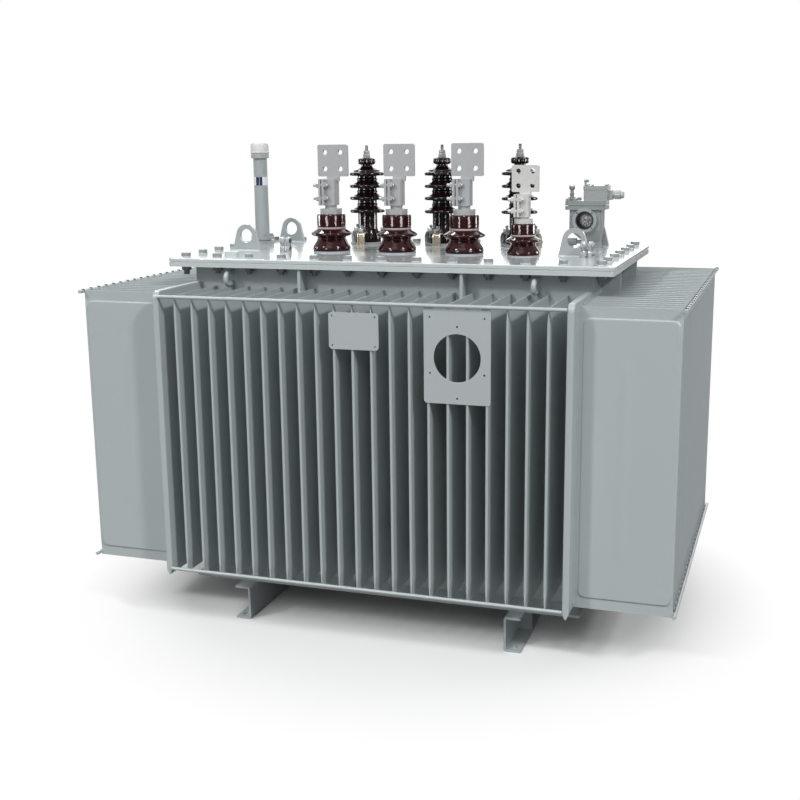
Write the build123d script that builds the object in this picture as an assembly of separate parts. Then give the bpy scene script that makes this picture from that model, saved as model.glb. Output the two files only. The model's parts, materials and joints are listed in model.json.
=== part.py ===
from build123d import *
import os
from math import cos, radians, sin

os.makedirs("parts", exist_ok=True)

# Oil-filled distribution transformer with corrugated cooling walls.
# X runs along the long front, Y from the front to the rear, Z up from the floor.

# Tank, flange and cover
TANK_X = 722.0
TANK_Y = 371.0
SKID_H = 125.5
BASE_PLATE_T = 8.0
BASE_PLATE_X = 720.0
BASE_PLATE_Y = 478.0
COVER_X = 800.0
COVER_Y = 437.0
COVER_TOP = 1304.5
COVER_T = 12.0
GASKET_T = 3.0
FLANGE_T = 16.0
COVER_CORNER_R = 14.0
COVER_EDGE_R = 4.0
COVER_Z = COVER_TOP - COVER_T
GASKET_Z = COVER_Z - GASKET_T
FLANGE_Z = GASKET_Z - FLANGE_T
TANK_Z = SKID_H + BASE_PLATE_T

# Corrugated walls
FIN_TOP = 1202.0
FIN_BOTTOM = 220.0
SHEET_T = 2.0
FIN_W = 9.5
FIN_LIP_T = 3.5
FRONT_LIP_H = 20.0
SIDE_LIP_H = 35.0
LIP_TAPER = 34.0
GUSSET = 20.0
FRONT_FINS = 21
FRONT_PITCH = 64.2
FRONT_FIN_EDGE = 687.0
SIDE_FINS = 26
SIDE_PITCH = 49.0
SIDE_FIN_EDGE = 1038.5
BEAD_W = 36.0
BEAD_D = 1.5
BEAD_OFFSET = 159.0
BEAD_TOP = 1035.0
BEAD_BOTTOM = 385.0

# Tie bars along the fin edges
BAR_R = 6.0
BAR_TOP_Z = FIN_TOP - 4
BAR_BOTTOM_Z = FIN_BOTTOM + 8
BAR_END = 14.0
SEAT = 0.3

# End panels that close the corners of the corrugated walls
PANEL_T = 22.0
PANEL_EDGE = FRONT_FIN_EDGE + BAR_R
PANEL_TOP = FIN_TOP + 15
PANEL_BOTTOM = FIN_BOTTOM - 17
PANEL_CORNER_R = 28.0
PANEL_ROUND_R = 4.0
PANEL_TIP_H = 20.0
PANEL_TIP_T = 3.0

# Skids
SKID_WEB_X = 473.4
SKID_FLANGE = 58.0
SKID_T = 8.0
SKID_Y = 540.5
SKID_HOLE_R = 11.0
SKID_HOLE_INSET = 31.5
SKID_STIFFENER_T = 8.0
SKID_STIFFENERS = (-0.63, -0.21, 0.21, 0.63)
SKID_BEND_R = 10.0

# Lifting lugs
LUG_W = 112.0
LUG_TOP_R = 40.0
LUG_H = 98.0
LUG_T = 16.0
LUG_HOLE_R = 26.0
LUG_HOLE_Z = 55.0
LUG_LEFT_X = -652.0
LUG_RIGHT_X = 606.0
LUG_FRONT_Y = -90.0
LUG_REAR_Y = 336.0

# Low-voltage bushings, as radii and as heights above the cover
LV_Y = -80.0
LV_X = (-307.0, -50.0, 206.0)
NEUTRAL_X = 430.0
NEUTRAL_Y = -112.0
NEUTRAL_SCALE = 0.81
LV_RING_T = 5.0
LV_SKIRT_R = 70.0
LV_NECK_R = 50.0
LV_SHED_R = 75.0
LV_CAP_R = 53.0
LV_WAIST_Z = 51.0
LV_SHED_Z = 67.0
LV_CAP_Z = 94.0
LV_TOP = 140.0
LV_RING_R = 40.0
LV_STEM_Z = LV_TOP + 20

# Flag connectors
LV_FLAG_W = 117.0
LV_FLAG_H = 115.0
LV_FLAG_Z = 276.0
LV_CLAMP_Z = 172.0
LV_CLAMP_HALF = 26.0
FLAG_T = 12.0
FLAG_CORNER_R = 6.0
FLAG_HOLE_R = 9.0
FLAG_PITCH = 60.0
FLAG_SHIFT = 12.0
NEUTRAL_FLAG_W = 96.0
NEUTRAL_FLAG_H = 92.0
NEUTRAL_FLAG_Z = 222.0
NEUTRAL_CLAMP_Z = 136.0
NEUTRAL_CLAMP_HALF = 22.0
NEUTRAL_FLAG_PITCH = 50.0
NEUTRAL_FLAG_SHIFT = 6.0
CLAMP_BOLT_R = 6.0
CLAMP_SLIT = 4.0

# High-voltage bushings, as radii and as heights above the cover
HV_Y = 300.0
HV_X = (-303.0, 10.0, 320.0)
HV_BODY_R = 38.0
HV_BASE_R = 52.0
HV_BASE_H = 44.0
HV_SHOULDER = 8.0
HV_SHED_Z = (131.0, 182.0, 229.0, 276.5)
HV_SHED_R = 69.0
HV_TIP_R = 6.5
HV_NECK_R = 22.0
HV_HEAD_R = 35.0
HV_HEAD_Z = 312.0
HV_TOP = 337.0
HV_STUD_R = 6.0
HV_STUD_H = 50.0
HV_NUT_H = 14.0
HV_FLANGE_R = 70.0
HV_FLANGE_T = 8.0

# Claws that hold each high-voltage bushing down, spaced evenly from the front
CLAWS = 3
CLAW_PCD = 132.0
CLAW_W = 29.0
CLAW_T = 8.0
CLAW_REACH = 20.0
CLAW_OUT = 16.0
CLAW_STUD_R = 6.0
CLAW_STUD_TIP = 11.0
CLAW_NUT_H = 13.0

# Filler pipe
PIPE_X = -722.0
PIPE_Y = 200.0
PIPE_R = 28.0
PIPE_SLEEVE_R = 34.0
PIPE_TOP = 342.0
PIPE_FLANGE_R = 46.0
PIPE_FLANGE_T = 15.0
PIPE_FLANGE_GAP = 3.0
PIPE_COLLAR_R = 36.0
PIPE_COLLAR_H = 19.0
PIPE_CAP_R = 38.0
PIPE_CAP_H = 39.0

# Protection relay
RELAY_X = 588.0
RELAY_Y = 262.0
RELAY_W = 118.0
RELAY_D = 96.0
RELAY_BODY_Z = 68.0
RELAY_FLANGE_Z = 144.0
RELAY_FLANGE_W = 150.0
RELAY_FLANGE_D = 112.0
RELAY_FLANGE_T = 14.0
RELAY_COVER_T = 17.0
RELAY_WINDOW_Z = 105.0
RELAY_WINDOW_R = 45.0
RELAY_GLASS_R = 31.0
RELAY_FOOT_X = 25.0
RELAY_FOOT_W = 58.0
RELAY_FOOT_H = 22.0
RELAY_BOX_W = 88.0
RELAY_BOX_D = 72.0
RELAY_BOX_H = 40.0
RELAY_LID_H = 14.0
VENT_R = 14.0
VENT_NECK_R = 7.0
VENT_CAP_R = 11.0
VENT_H = 49.0

# Thermometer pockets in pairs near the front corners of the cover
POCKET_R = 10.0
POCKET_HEX_R = 11.0
POCKET_H = 50.0
POCKET_Y = -125.0
POCKET_LEFT_X = -476.0
POCKET_RIGHT_X = 658.0
POCKET_PITCH = 25.0

# Earthing pad at the front left of the cover
EARTH_PAD_X = -588.0
EARTH_PAD_Y = -350.0
EARTH_PAD_W = 46.0
EARTH_PAD_D = 24.0
EARTH_PAD_H = 20.0

# Plates hung on the front tie bar
RATING_X0 = -79.0
RATING_X1 = 92.0
RATING_Z0 = 1046.0
RATING_Z1 = 1167.0
RATING_HOLE_INSET = 12.0
GAUGE_X0 = 244.0
GAUGE_X1 = 462.0
GAUGE_Z0 = 886.0
GAUGE_Z1 = 1187.0
GAUGE_HOLE_X = 353.5
GAUGE_HOLE_Z = 1034.0
GAUGE_HOLE_R = 77.0
PLATE_T = 3.0
PLATE_HOLE_R = 3.5
GAUGE_HOLE_SIDE = 20.0
GAUGE_HOLE_HIGH = 25.0
GAUGE_HOLE_MID = 54.0
GAUGE_HOLE_LOW = 51.0
GAUGE_HOLE_FOOT = 18.0
TAB_W = 32.0

# Ribs under the flange
RIB_T = 10.0
RIB_SIDE_T = 8.0
RIB_FRONT_X = 293.0
RIB_SIDE_Y = 196.0
RIB_REACH_X = COVER_X - TANK_X - 13
RIB_REACH_Y = COVER_Y - TANK_Y - 7
RIB_BOTTOM = FIN_TOP - 16

# Lashing hooks bent from round bar
HOOK_LEFT_X = -575.0
HOOK_RIGHT_X = 538.0
HOOK_R = 9.0
HOOK_REACH = 59.0
HOOK_GAP = 1.0
HOOK_SPAN = 41.0
HOOK_OUT = TANK_Y + HOOK_REACH
HOOK_BOTTOM = FIN_TOP + HOOK_GAP + HOOK_R
HOOK_TOP = HOOK_BOTTOM + HOOK_SPAN


def save(shape, name, color):
    shape.label = name
    shape.color = Color(*color)
    export_step(shape, f"parts/{name}.step")


def block(x0, x1, y0, y1, z0, z1):
    size = (x1 - x0, y1 - y0, z1 - z0)
    centre = ((x0 + x1) / 2, (y0 + y1) / 2, (z0 + z1) / 2)
    return Pos(*centre) * Box(*size)


def group(shapes):
    return Compound(children=list(shapes))


PAINT = (0.65, 0.68, 0.69)
PORCELAIN = (0.2, 0.03, 0.03)
ALUMINIUM = (0.8, 0.81, 0.82)
BRASS = (0.75, 0.6, 0.3)
RUBBER = (0.05, 0.05, 0.05)


# Tank, base plate, flange, gasket and cover
def rim(half_x, half_y, z, thickness):
    outer = RectangleRounded(2 * half_x, 2 * half_y, COVER_CORNER_R)
    inner = Rectangle(2 * TANK_X + 1, 2 * TANK_Y + 1)
    return Pos(0, 0, z) * extrude(outer - inner, thickness)


tank = block(-TANK_X, TANK_X, -TANK_Y, TANK_Y, TANK_Z, GASKET_Z)
base_plate = block(-BASE_PLATE_X, BASE_PLATE_X, -BASE_PLATE_Y, BASE_PLATE_Y, SKID_H, TANK_Z)
base_plate = fillet(base_plate.edges().filter_by(Axis.Z), 10)
flange = rim(COVER_X, COVER_Y, FLANGE_Z, FLANGE_T)
gasket = rim(COVER_X - 3, COVER_Y - 3, GASKET_Z, GASKET_T)
cover = Pos(0, 0, COVER_Z) * extrude(
    RectangleRounded(2 * COVER_X, 2 * COVER_Y, COVER_CORNER_R), COVER_T
)
cover = fillet(cover.edges().group_by(Axis.Z)[-1], COVER_EDGE_R)
save(tank, "tank_body", PAINT)
save(base_plate, "bottom_plate", PAINT)
save(flange, "tank_flange", PAINT)
save(gasket, "cover_gasket", RUBBER)
save(cover, "cover_plate", PAINT)


# One corrugation: a folded hollow fin with its top and bottom pressed shut
def fin_section(root, edge, width, z):
    # Plan of the fold: two straight walls and a round nose at the outer edge
    half = width / 2
    with BuildSketch(Plane.XY.offset(z)) as section:
        with BuildLine():
            Polyline((-half, half - edge), (-half, -root), (half, -root), (half, half - edge))
            ThreePointArc((half, half - edge), (0, -edge), (-half, half - edge))
        make_face()
    return section.sketch


def fin(root, edge, lip):
    bend = lip + LIP_TAPER
    low_lip = fin_section(root, edge, FIN_LIP_T, FIN_BOTTOM)
    high_lip = fin_section(root, edge, FIN_LIP_T, FIN_TOP - lip)
    low_bend = fin_section(root, edge, FIN_W, FIN_BOTTOM + bend)
    high_bend = fin_section(root, edge, FIN_W, FIN_TOP - bend)
    body = extrude(low_lip, lip)
    body += loft([Pos(0, 0, lip) * low_lip, low_bend], ruled=True)
    body += extrude(low_bend, FIN_TOP - FIN_BOTTOM - 2 * bend)
    body += loft([high_bend, high_lip], ruled=True)
    body += extrude(high_lip, lip)
    return body


def gusset(root):
    # Diagonal weld web on both sides of a fin where its pressed end meets the wall
    pieces = []
    for z, way in ((FIN_TOP, -1), (FIN_BOTTOM, 1)):
        corners = [(-GUSSET, z + way * GUSSET), (0, z), (GUSSET, z + way * GUSSET)]
        face = Plane.XZ.offset(root) * make_face(Polyline(*corners, close=True))
        pieces.append(extrude(face, SHEET_T))
    return pieces


def fin_bank(count, pitch, half_span, wall, edge, lip):
    root = block(
        -half_span, half_span, -wall - SHEET_T, -wall, FIN_BOTTOM + GUSSET, FIN_TOP - GUSSET
    )
    one = [fin(wall, edge, lip)] + gusset(wall)
    parts = [root]
    first = -pitch * (count - 1) / 2
    for i in range(count):
        parts += [Pos(first + i * pitch, 0, 0) * piece for piece in one]
    return parts[0].fuse(*parts[1:])


def bead(side):
    # Strip pressed out of the outward face of the last fin of a side wall
    face_x = SIDE_PITCH * (SIDE_FINS - 1) / 2 + FIN_W / 2
    middle = -TANK_X - BEAD_OFFSET
    strip = block(
        face_x - BEAD_D, face_x + BEAD_D, middle - BEAD_W / 2, middle + BEAD_W / 2,
        BEAD_BOTTOM, BEAD_TOP
    )
    strip = fillet(strip.edges().filter_by(Axis.X), BEAD_W / 2 - 1)
    return strip if side > 0 else mirror(strip, Plane.YZ)


front_bank = fin_bank(
    FRONT_FINS, FRONT_PITCH, TANK_X - PANEL_T, TANK_Y, FRONT_FIN_EDGE, FRONT_LIP_H
)
side_span = SIDE_PITCH * (SIDE_FINS - 1) / 2 + FIN_W
side_bank = fin_bank(
    SIDE_FINS, SIDE_PITCH, side_span, TANK_X, SIDE_FIN_EDGE, SIDE_LIP_H
)
right_bank = Rot(0, 0, 90) * (side_bank + bead(-1) + bead(1))
save(front_bank, "front_fin_bank", PAINT)
save(Rot(0, 0, 180) * front_bank, "rear_fin_bank", PAINT)
save(right_bank, "right_fin_bank", PAINT)
save(Rot(0, 0, 180) * right_bank, "left_fin_bank", PAINT)


# End panels: flat boxes that stand out from the tank corners
def end_panel(x_sign, y_sign):
    x0 = TANK_X - PANEL_T
    tip = (PANEL_T - PANEL_TIP_T) / 2
    panel = block(x0, TANK_X, TANK_Y, PANEL_EDGE, PANEL_BOTTOM, PANEL_TOP)
    front = panel.faces().sort_by(Axis.Y)[-1]
    panel = fillet(front.edges().filter_by(Axis.X).sort_by(Axis.Z)[-1], PANEL_CORNER_R)
    panel = fillet(panel.edges().filter_by(Axis.Z).group_by(Axis.Y)[-1], PANEL_ROUND_R)
    for outer, inner in ((x0, x0 + tip), (TANK_X, TANK_X - tip)):
        wedge = make_face(Polyline(
            (outer, PANEL_BOTTOM), (inner, PANEL_BOTTOM), (outer, PANEL_BOTTOM + PANEL_TIP_H),
            close=True
        ))
        panel -= extrude(Plane.XZ * wedge, PANEL_EDGE + 1, both=True)
    if x_sign < 0:
        panel = mirror(panel, Plane.YZ)
    if y_sign < 0:
        panel = mirror(panel, Plane.XZ)
    return panel


save(group([end_panel(-1, -1), end_panel(-1, 1)]), "left_end_panels", PAINT)
save(group([end_panel(1, -1), end_panel(1, 1)]), "right_end_panels", PAINT)


# Tie bars welded across the fin edges
def tie_bar(half_length, out, z):
    start = (-half_length, -out - BAR_R, z)
    plane = Plane(origin=start, z_dir=(1, 0, 0))
    return extrude(plane * Circle(BAR_R), 2 * half_length)


def bar_pair(half_length, out):
    return [tie_bar(half_length, out, BAR_TOP_Z), tie_bar(half_length, out, BAR_BOTTOM_Z)]


FRONT_BAR_HALF = TANK_X - PANEL_T
SIDE_BAR_HALF = side_span + BAR_END
front_bars = bar_pair(FRONT_BAR_HALF, FRONT_FIN_EDGE + SEAT)
side_bars = bar_pair(SIDE_BAR_HALF, SIDE_FIN_EDGE + SEAT)
save(group(front_bars), "front_tie_bars", PAINT)
save(group([Rot(0, 0, 180) * b for b in front_bars]), "rear_tie_bars", PAINT)
save(group([Rot(0, 0, 90) * b for b in side_bars]), "right_tie_bars", PAINT)
save(group([Rot(0, 0, -90) * b for b in side_bars]), "left_tie_bars", PAINT)


# Skids folded to channels, webs inboard, drilled at the ends of the lower flange
def skid(sign):
    outer = SKID_WEB_X + SKID_FLANGE
    points = [(SKID_WEB_X, 0), (outer, 0), (outer, SKID_T)]
    points += [(SKID_WEB_X + SKID_T, SKID_T), (SKID_WEB_X + SKID_T, SKID_H - SKID_T)]
    points += [(outer, SKID_H - SKID_T), (outer, SKID_H), (SKID_WEB_X, SKID_H)]
    face = Plane.XZ * make_face(Polyline(*points, close=True))
    channel = extrude(face, SKID_Y, both=True)
    bends = channel.edges().filter_by(Axis.Y).group_by(Axis.X)[0]
    channel = fillet(bends, SKID_BEND_R)
    for share in SKID_STIFFENERS:
        y = share * SKID_Y
        channel += block(
            SKID_WEB_X + SKID_T, outer - 3, y - SKID_STIFFENER_T / 2,
            y + SKID_STIFFENER_T / 2, SKID_T, SKID_H - SKID_T
        )
    hole_x = (SKID_WEB_X + SKID_T + outer) / 2
    for y in (-SKID_Y + SKID_HOLE_INSET, SKID_Y - SKID_HOLE_INSET):
        channel -= Pos(hole_x, y, SKID_T / 2) * Cylinder(SKID_HOLE_R, 3 * SKID_T)
    return channel if sign > 0 else mirror(channel, Plane.YZ)


save(skid(-1), "left_skid", PAINT)
save(skid(1), "right_skid", PAINT)


# Lifting lugs: plates with a round head, sloping sides and one round hole
def lug(x, y):
    head_z = LUG_H - LUG_TOP_R
    half = LUG_W / 2
    lean = 14
    with BuildSketch(Plane.XZ) as sketch:
        with BuildLine():
            a = (half, 0)
            b = (LUG_TOP_R * cos(radians(lean)), head_z + LUG_TOP_R * sin(radians(lean)))
            Polyline((-b[0], b[1]), (-half, 0), a, b)
            ThreePointArc(b, (0, LUG_H), (-b[0], b[1]))
        make_face()
        with Locations((0, LUG_HOLE_Z)):
            Circle(LUG_HOLE_R, mode=Mode.SUBTRACT)
    plate = extrude(sketch.sketch, LUG_T / 2, both=True)
    return Pos(x, y, COVER_TOP) * plate


lugs = []
for lug_x in (LUG_LEFT_X, LUG_RIGHT_X):
    for lug_y in (LUG_FRONT_Y, LUG_REAR_Y):
        lugs.append(lug(lug_x, lug_y))
save(group(lugs), "lifting_lugs", PAINT)


# Ribs between the flange and the upper tank wall
front_rib = block(
    RIB_FRONT_X - RIB_T / 2, RIB_FRONT_X + RIB_T / 2, TANK_Y, TANK_Y + RIB_REACH_Y,
    RIB_BOTTOM, FLANGE_Z
)
side_rib = block(
    TANK_X, TANK_X + RIB_REACH_X, RIB_SIDE_Y - RIB_SIDE_T / 2, RIB_SIDE_Y + RIB_SIDE_T / 2,
    RIB_BOTTOM, FLANGE_Z
)
ribs = []
for rib in (front_rib, side_rib):
    left_rib = mirror(rib, Plane.YZ)
    ribs += [rib, left_rib, mirror(rib, Plane.XZ), mirror(left_rib, Plane.XZ)]
save(group(ribs), "flange_ribs", PAINT)


# Lashing hooks: round bar bent to a U, both legs welded to the upper tank wall
def hook(x, sign):
    mid = (HOOK_TOP + HOOK_BOTTOM) / 2
    reach = (HOOK_TOP - HOOK_BOTTOM) / 2
    shoulder = HOOK_OUT - reach
    with BuildLine(Plane.YZ) as path:
        Line((-TANK_Y, HOOK_TOP), (-shoulder, HOOK_TOP))
        ThreePointArc((-shoulder, HOOK_TOP), (-HOOK_OUT, mid), (-shoulder, HOOK_BOTTOM))
        Line((-shoulder, HOOK_BOTTOM), (-TANK_Y, HOOK_BOTTOM))
    start = Plane(origin=(0, -TANK_Y, HOOK_TOP), z_dir=(0, -1, 0))
    bar = Pos(x, 0, 0) * sweep(start * Circle(HOOK_R), path.line)
    return bar if sign < 0 else mirror(bar, Plane.XZ)


hooks = [hook(x, s) for x in (HOOK_LEFT_X, HOOK_RIGHT_X) for s in (-1, 1)]
save(group(hooks), "lashing_hooks", PAINT)


# Revolved shapes are given as radius and height above the cover
def revolved(points, x, y, scale=1.0):
    outline = [(r * scale, z * scale) for r, z in points]
    face = Plane.XZ * make_face(Polyline(*outline, close=True))
    return Pos(x, y, COVER_TOP) * revolve(face, Axis.Z)


# Low-voltage bushing: flared skirt, one shed, upper cap
def lv_outline():
    points = [(0, LV_RING_T), (LV_SKIRT_R - 3, LV_RING_T), (LV_SKIRT_R, LV_RING_T + 9)]
    points += [(LV_SKIRT_R - 2, LV_RING_T + 18), (LV_NECK_R + 7, LV_WAIST_Z - 14)]
    points += [(LV_NECK_R, LV_WAIST_Z), (LV_SHED_R - 16, LV_SHED_Z - 8)]
    points += [(LV_SHED_R - 2, LV_SHED_Z - 2), (LV_SHED_R, LV_SHED_Z + 2)]
    points += [(LV_SHED_R - 14, LV_SHED_Z + 12), (LV_NECK_R, LV_SHED_Z + 19)]
    points += [(LV_NECK_R, LV_CAP_Z - 2), (LV_CAP_R, LV_CAP_Z + 2)]
    points += [(LV_CAP_R, LV_TOP - 6), (LV_CAP_R - 5, LV_TOP), (0, LV_TOP)]
    return points


LV_RING = [(0, 0), (LV_SKIRT_R, 0), (LV_SKIRT_R, LV_RING_T), (0, LV_RING_T)]
lv_places = [(x, LV_Y, 1.0) for x in LV_X] + [(NEUTRAL_X, NEUTRAL_Y, NEUTRAL_SCALE)]
lv_names = ["lv_bushing_1", "lv_bushing_2", "lv_bushing_3", "neutral_bushing"]
for name, (x, y, scale) in zip(lv_names, lv_places):
    save(revolved(lv_outline(), x, y, scale), name, PORCELAIN)
rings = [revolved(LV_RING, x, y, scale) for x, y, scale in lv_places]
save(group(rings), "lv_base_rings", ALUMINIUM)


# Flag connector: ring and stem, split clamp with two bolts, drilled palm to the front
def stem(scale, clamp_z):
    top = clamp_z + 4
    ring = [(0, LV_TOP), (LV_RING_R, LV_TOP), (LV_RING_R, LV_STEM_Z), (0, LV_STEM_Z)]
    post = Cylinder(0.55 * LV_RING_R * scale, top - LV_TOP * scale)
    return revolved(ring, 0, 0, scale) + Pos(0, 0, COVER_TOP + (top + LV_TOP * scale) / 2) * post


def split_clamp(half, z0, z1):
    # A narrow jaw on the left and the wide one on the right, each with an ear to the front
    jaw_t = half / 3
    slit_x = -half + CLAMP_SLIT
    left = slit_x - CLAMP_SLIT / 2 - jaw_t
    front = -half - 2 * CLAMP_BOLT_R - 4
    right = slit_x + CLAMP_SLIT / 2 + jaw_t
    jaw = extrude(Pos(0, 0, z0) * RectangleRounded(2 * half, 2 * half, half / 3), z1 - z0)
    jaw += block(left, slit_x, front, half, z0, z1)
    jaw += block(slit_x, right, front, -half / 2, z0, z1)
    jaw -= block(
        slit_x - CLAMP_SLIT / 2, slit_x + CLAMP_SLIT / 2, front - 1, half / 2, z0 - 1, z1 + 1
    )
    nut = 1.5 * CLAMP_BOLT_R
    for share in (0.27, 0.77):
        place = Plane(
            origin=(left, -half - CLAMP_BOLT_R - 2, z0 + share * (z1 - z0)), z_dir=(1, 0, 0)
        )
        start = place.offset(-nut - 2 * CLAMP_BOLT_R)
        jaw += extrude(start * Circle(CLAMP_BOLT_R), right - left + 2 * nut + 3 * CLAMP_BOLT_R)
        for seat in (-nut, right - left):
            hexagon = place.offset(seat) * RegularPolygon(nut, 6, major_radius=False)
            jaw += extrude(hexagon, nut)
    return jaw


def palm(width, height, pitch, x, z):
    face = Plane(origin=(x, FLAG_T / 2, z + height / 2), x_dir=(1, 0, 0), z_dir=(0, -1, 0))
    sheet = extrude(face * RectangleRounded(width, height, FLAG_CORNER_R), FLAG_T)
    for i in (-0.5, 0.5):
        for k in (-0.5, 0.5):
            sheet -= extrude(face * Pos(i * pitch, k * pitch, 0) * Circle(FLAG_HOLE_R), FLAG_T)
    return sheet


def connector(x, y, scale, clamp, flag_size, shift):
    clamp_z, half = clamp
    width, height, pitch, flag_z = flag_size
    clamp_top = flag_z - half / 3
    body = stem(scale, clamp_z)
    body += Pos(0, 0, COVER_TOP) * split_clamp(half, clamp_z, clamp_top)
    body += block(
        shift - 0.9 * half, shift + 0.9 * half, -FLAG_T / 2, FLAG_T / 2,
        COVER_TOP + clamp_top - half / 3, COVER_TOP + flag_z + FLAG_CORNER_R
    )
    body += palm(width, height, pitch, shift, COVER_TOP + flag_z)
    return Pos(x, y, 0) * body


lv_clamp = (LV_CLAMP_Z, LV_CLAMP_HALF)
lv_flag = (LV_FLAG_W, LV_FLAG_H, FLAG_PITCH, LV_FLAG_Z)
neutral_clamp = (NEUTRAL_CLAMP_Z, NEUTRAL_CLAMP_HALF)
neutral_flag = (NEUTRAL_FLAG_W, NEUTRAL_FLAG_H, NEUTRAL_FLAG_PITCH, NEUTRAL_FLAG_Z)
lv_connector = connector(0, LV_Y, 1.0, lv_clamp, lv_flag, FLAG_SHIFT)
for i, x in enumerate(LV_X):
    save(Pos(x, 0, 0) * lv_connector, f"lv_connector_{i + 1}", ALUMINIUM)
save(
    connector(
        NEUTRAL_X, NEUTRAL_Y, NEUTRAL_SCALE, neutral_clamp, neutral_flag, NEUTRAL_FLAG_SHIFT
    ),
    "neutral_connector", ALUMINIUM
)


# High-voltage bushing: plain lower body, four sheds with small ribs between
def hv_outline():
    # Each shed slopes down to a thick round tip; the top one rises to the neck as a cone
    points = [(0, 0), (HV_BASE_R, 0), (HV_BASE_R, HV_BASE_H), (HV_BASE_R - HV_SHOULDER, HV_BASE_H)]
    points += [(HV_BODY_R + 2, HV_BASE_H + 14), (HV_BODY_R, HV_BASE_H + 20)]
    for z in HV_SHED_Z:
        points += [(HV_BODY_R, z - 2 * HV_TIP_R), (HV_SHED_R - HV_TIP_R, z - HV_TIP_R)]
        points += [
            (HV_SHED_R - HV_TIP_R + HV_TIP_R * cos(radians(a)), z + HV_TIP_R * sin(radians(a)))
            for a in (-60, -30, 0, 30, 60)
        ]
        points += [(HV_SHED_R - 2 * HV_TIP_R, z + 1.4 * HV_TIP_R)]
        if z < HV_SHED_Z[-1]:
            points += [(HV_BODY_R, z + 17), (HV_BODY_R + 2.5, z + 22), (HV_BODY_R - 1, z + 28)]
    points += [(HV_NECK_R, HV_HEAD_Z - 10), (HV_NECK_R, HV_HEAD_Z - 2), (HV_HEAD_R, HV_HEAD_Z + 3)]
    points += [(HV_HEAD_R, HV_TOP - 5), (HV_HEAD_R - 7, HV_TOP), (0, HV_TOP)]
    return points


def upright(radius, height):
    return Cylinder(radius, height, align=(Align.CENTER, Align.CENTER, Align.MIN))


def hexagon(radius, height):
    return extrude(RegularPolygon(radius, 6, major_radius=False), height)


def hv_terminal(x, y):
    washer = upright(HV_STUD_R + 11, 3)
    nut = Pos(0, 0, 3) * hexagon(HV_STUD_R + 7, HV_NUT_H)
    return Pos(x, y, COVER_TOP + HV_TOP) * (washer + nut + upright(HV_STUD_R, HV_STUD_H))


def claw():
    # Bent strap from the cover over the bushing's shoulder, with its stud and nut
    middle = CLAW_PCD / 2
    outer = middle + CLAW_OUT
    under = HV_BASE_H + SEAT
    top = under + CLAW_T
    strap = block(middle - CLAW_REACH, outer, -CLAW_W / 2, CLAW_W / 2, 0, top)
    strap -= block(middle - CLAW_REACH, outer - CLAW_T, -CLAW_W / 2, CLAW_W / 2, 0, under)
    bend = strap.edges().filter_by(Axis.Y).sort_by(Axis((0, 0, 0), (1, 0, 1)))[-1]
    strap = fillet(bend, CLAW_T + 3)
    nut = Pos(middle, 0, top) * hexagon(2 * CLAW_STUD_R, CLAW_NUT_H)
    stud = Pos(middle, 0, 0) * upright(CLAW_STUD_R, top + CLAW_NUT_H + CLAW_STUD_TIP)
    return strap + nut + stud


def hv_clamp(x, y):
    plate = upright(HV_FLANGE_R, HV_FLANGE_T) - upright(HV_BASE_R + SEAT, HV_FLANGE_T)
    for k in range(CLAWS):
        plate += Rot(0, 0, -90 + k * 360 / CLAWS) * claw()
    return Pos(x, y, COVER_TOP) * plate


for i, x in enumerate(HV_X):
    save(revolved(hv_outline(), x, HV_Y), f"hv_bushing_{i + 1}", PORCELAIN)
save(group([hv_terminal(x, HV_Y) for x in HV_X]), "hv_terminals", BRASS)
save(group([hv_clamp(x, HV_Y) for x in HV_X]), "hv_clamp_rings", ALUMINIUM)


# Filler pipe on a two-part flange, with a collar and a screw cap
def filler():
    pair_z = PIPE_FLANGE_T + PIPE_FLANGE_GAP
    flange_top = pair_z + PIPE_FLANGE_T
    collar_top = PIPE_TOP + PIPE_COLLAR_H
    pipe = [(0, 0), (PIPE_FLANGE_R, 0), (PIPE_FLANGE_R, PIPE_FLANGE_T)]
    pipe += [(PIPE_SLEEVE_R, PIPE_FLANGE_T), (PIPE_SLEEVE_R, pair_z), (PIPE_FLANGE_R, pair_z)]
    pipe += [(PIPE_FLANGE_R, flange_top), (PIPE_R, flange_top), (PIPE_R, PIPE_TOP)]
    pipe += [(PIPE_COLLAR_R, PIPE_TOP), (PIPE_COLLAR_R, collar_top), (0, collar_top)]
    cap_top = collar_top + PIPE_CAP_H
    cap = [(0, collar_top), (PIPE_CAP_R, collar_top), (PIPE_CAP_R, cap_top - 3)]
    cap += [(PIPE_CAP_R - 3, cap_top), (0, cap_top)]
    return pipe, cap


pipe_outline, cap_outline = filler()
save(revolved(pipe_outline, PIPE_X, PIPE_Y), "filler_pipe", PAINT)
save(revolved(cap_outline, PIPE_X, PIPE_Y), "filler_cap", ALUMINIUM)


# Protection relay: cast body on a tapered foot, bolted cover, sight glass, terminal box
def local(shape):
    return Pos(RELAY_X, RELAY_Y, COVER_TOP) * shape


def slab(width, depth, corner, x, z, height):
    return extrude(Plane(origin=(x, 0, z)) * RectangleRounded(width, depth, corner), height)


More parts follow.
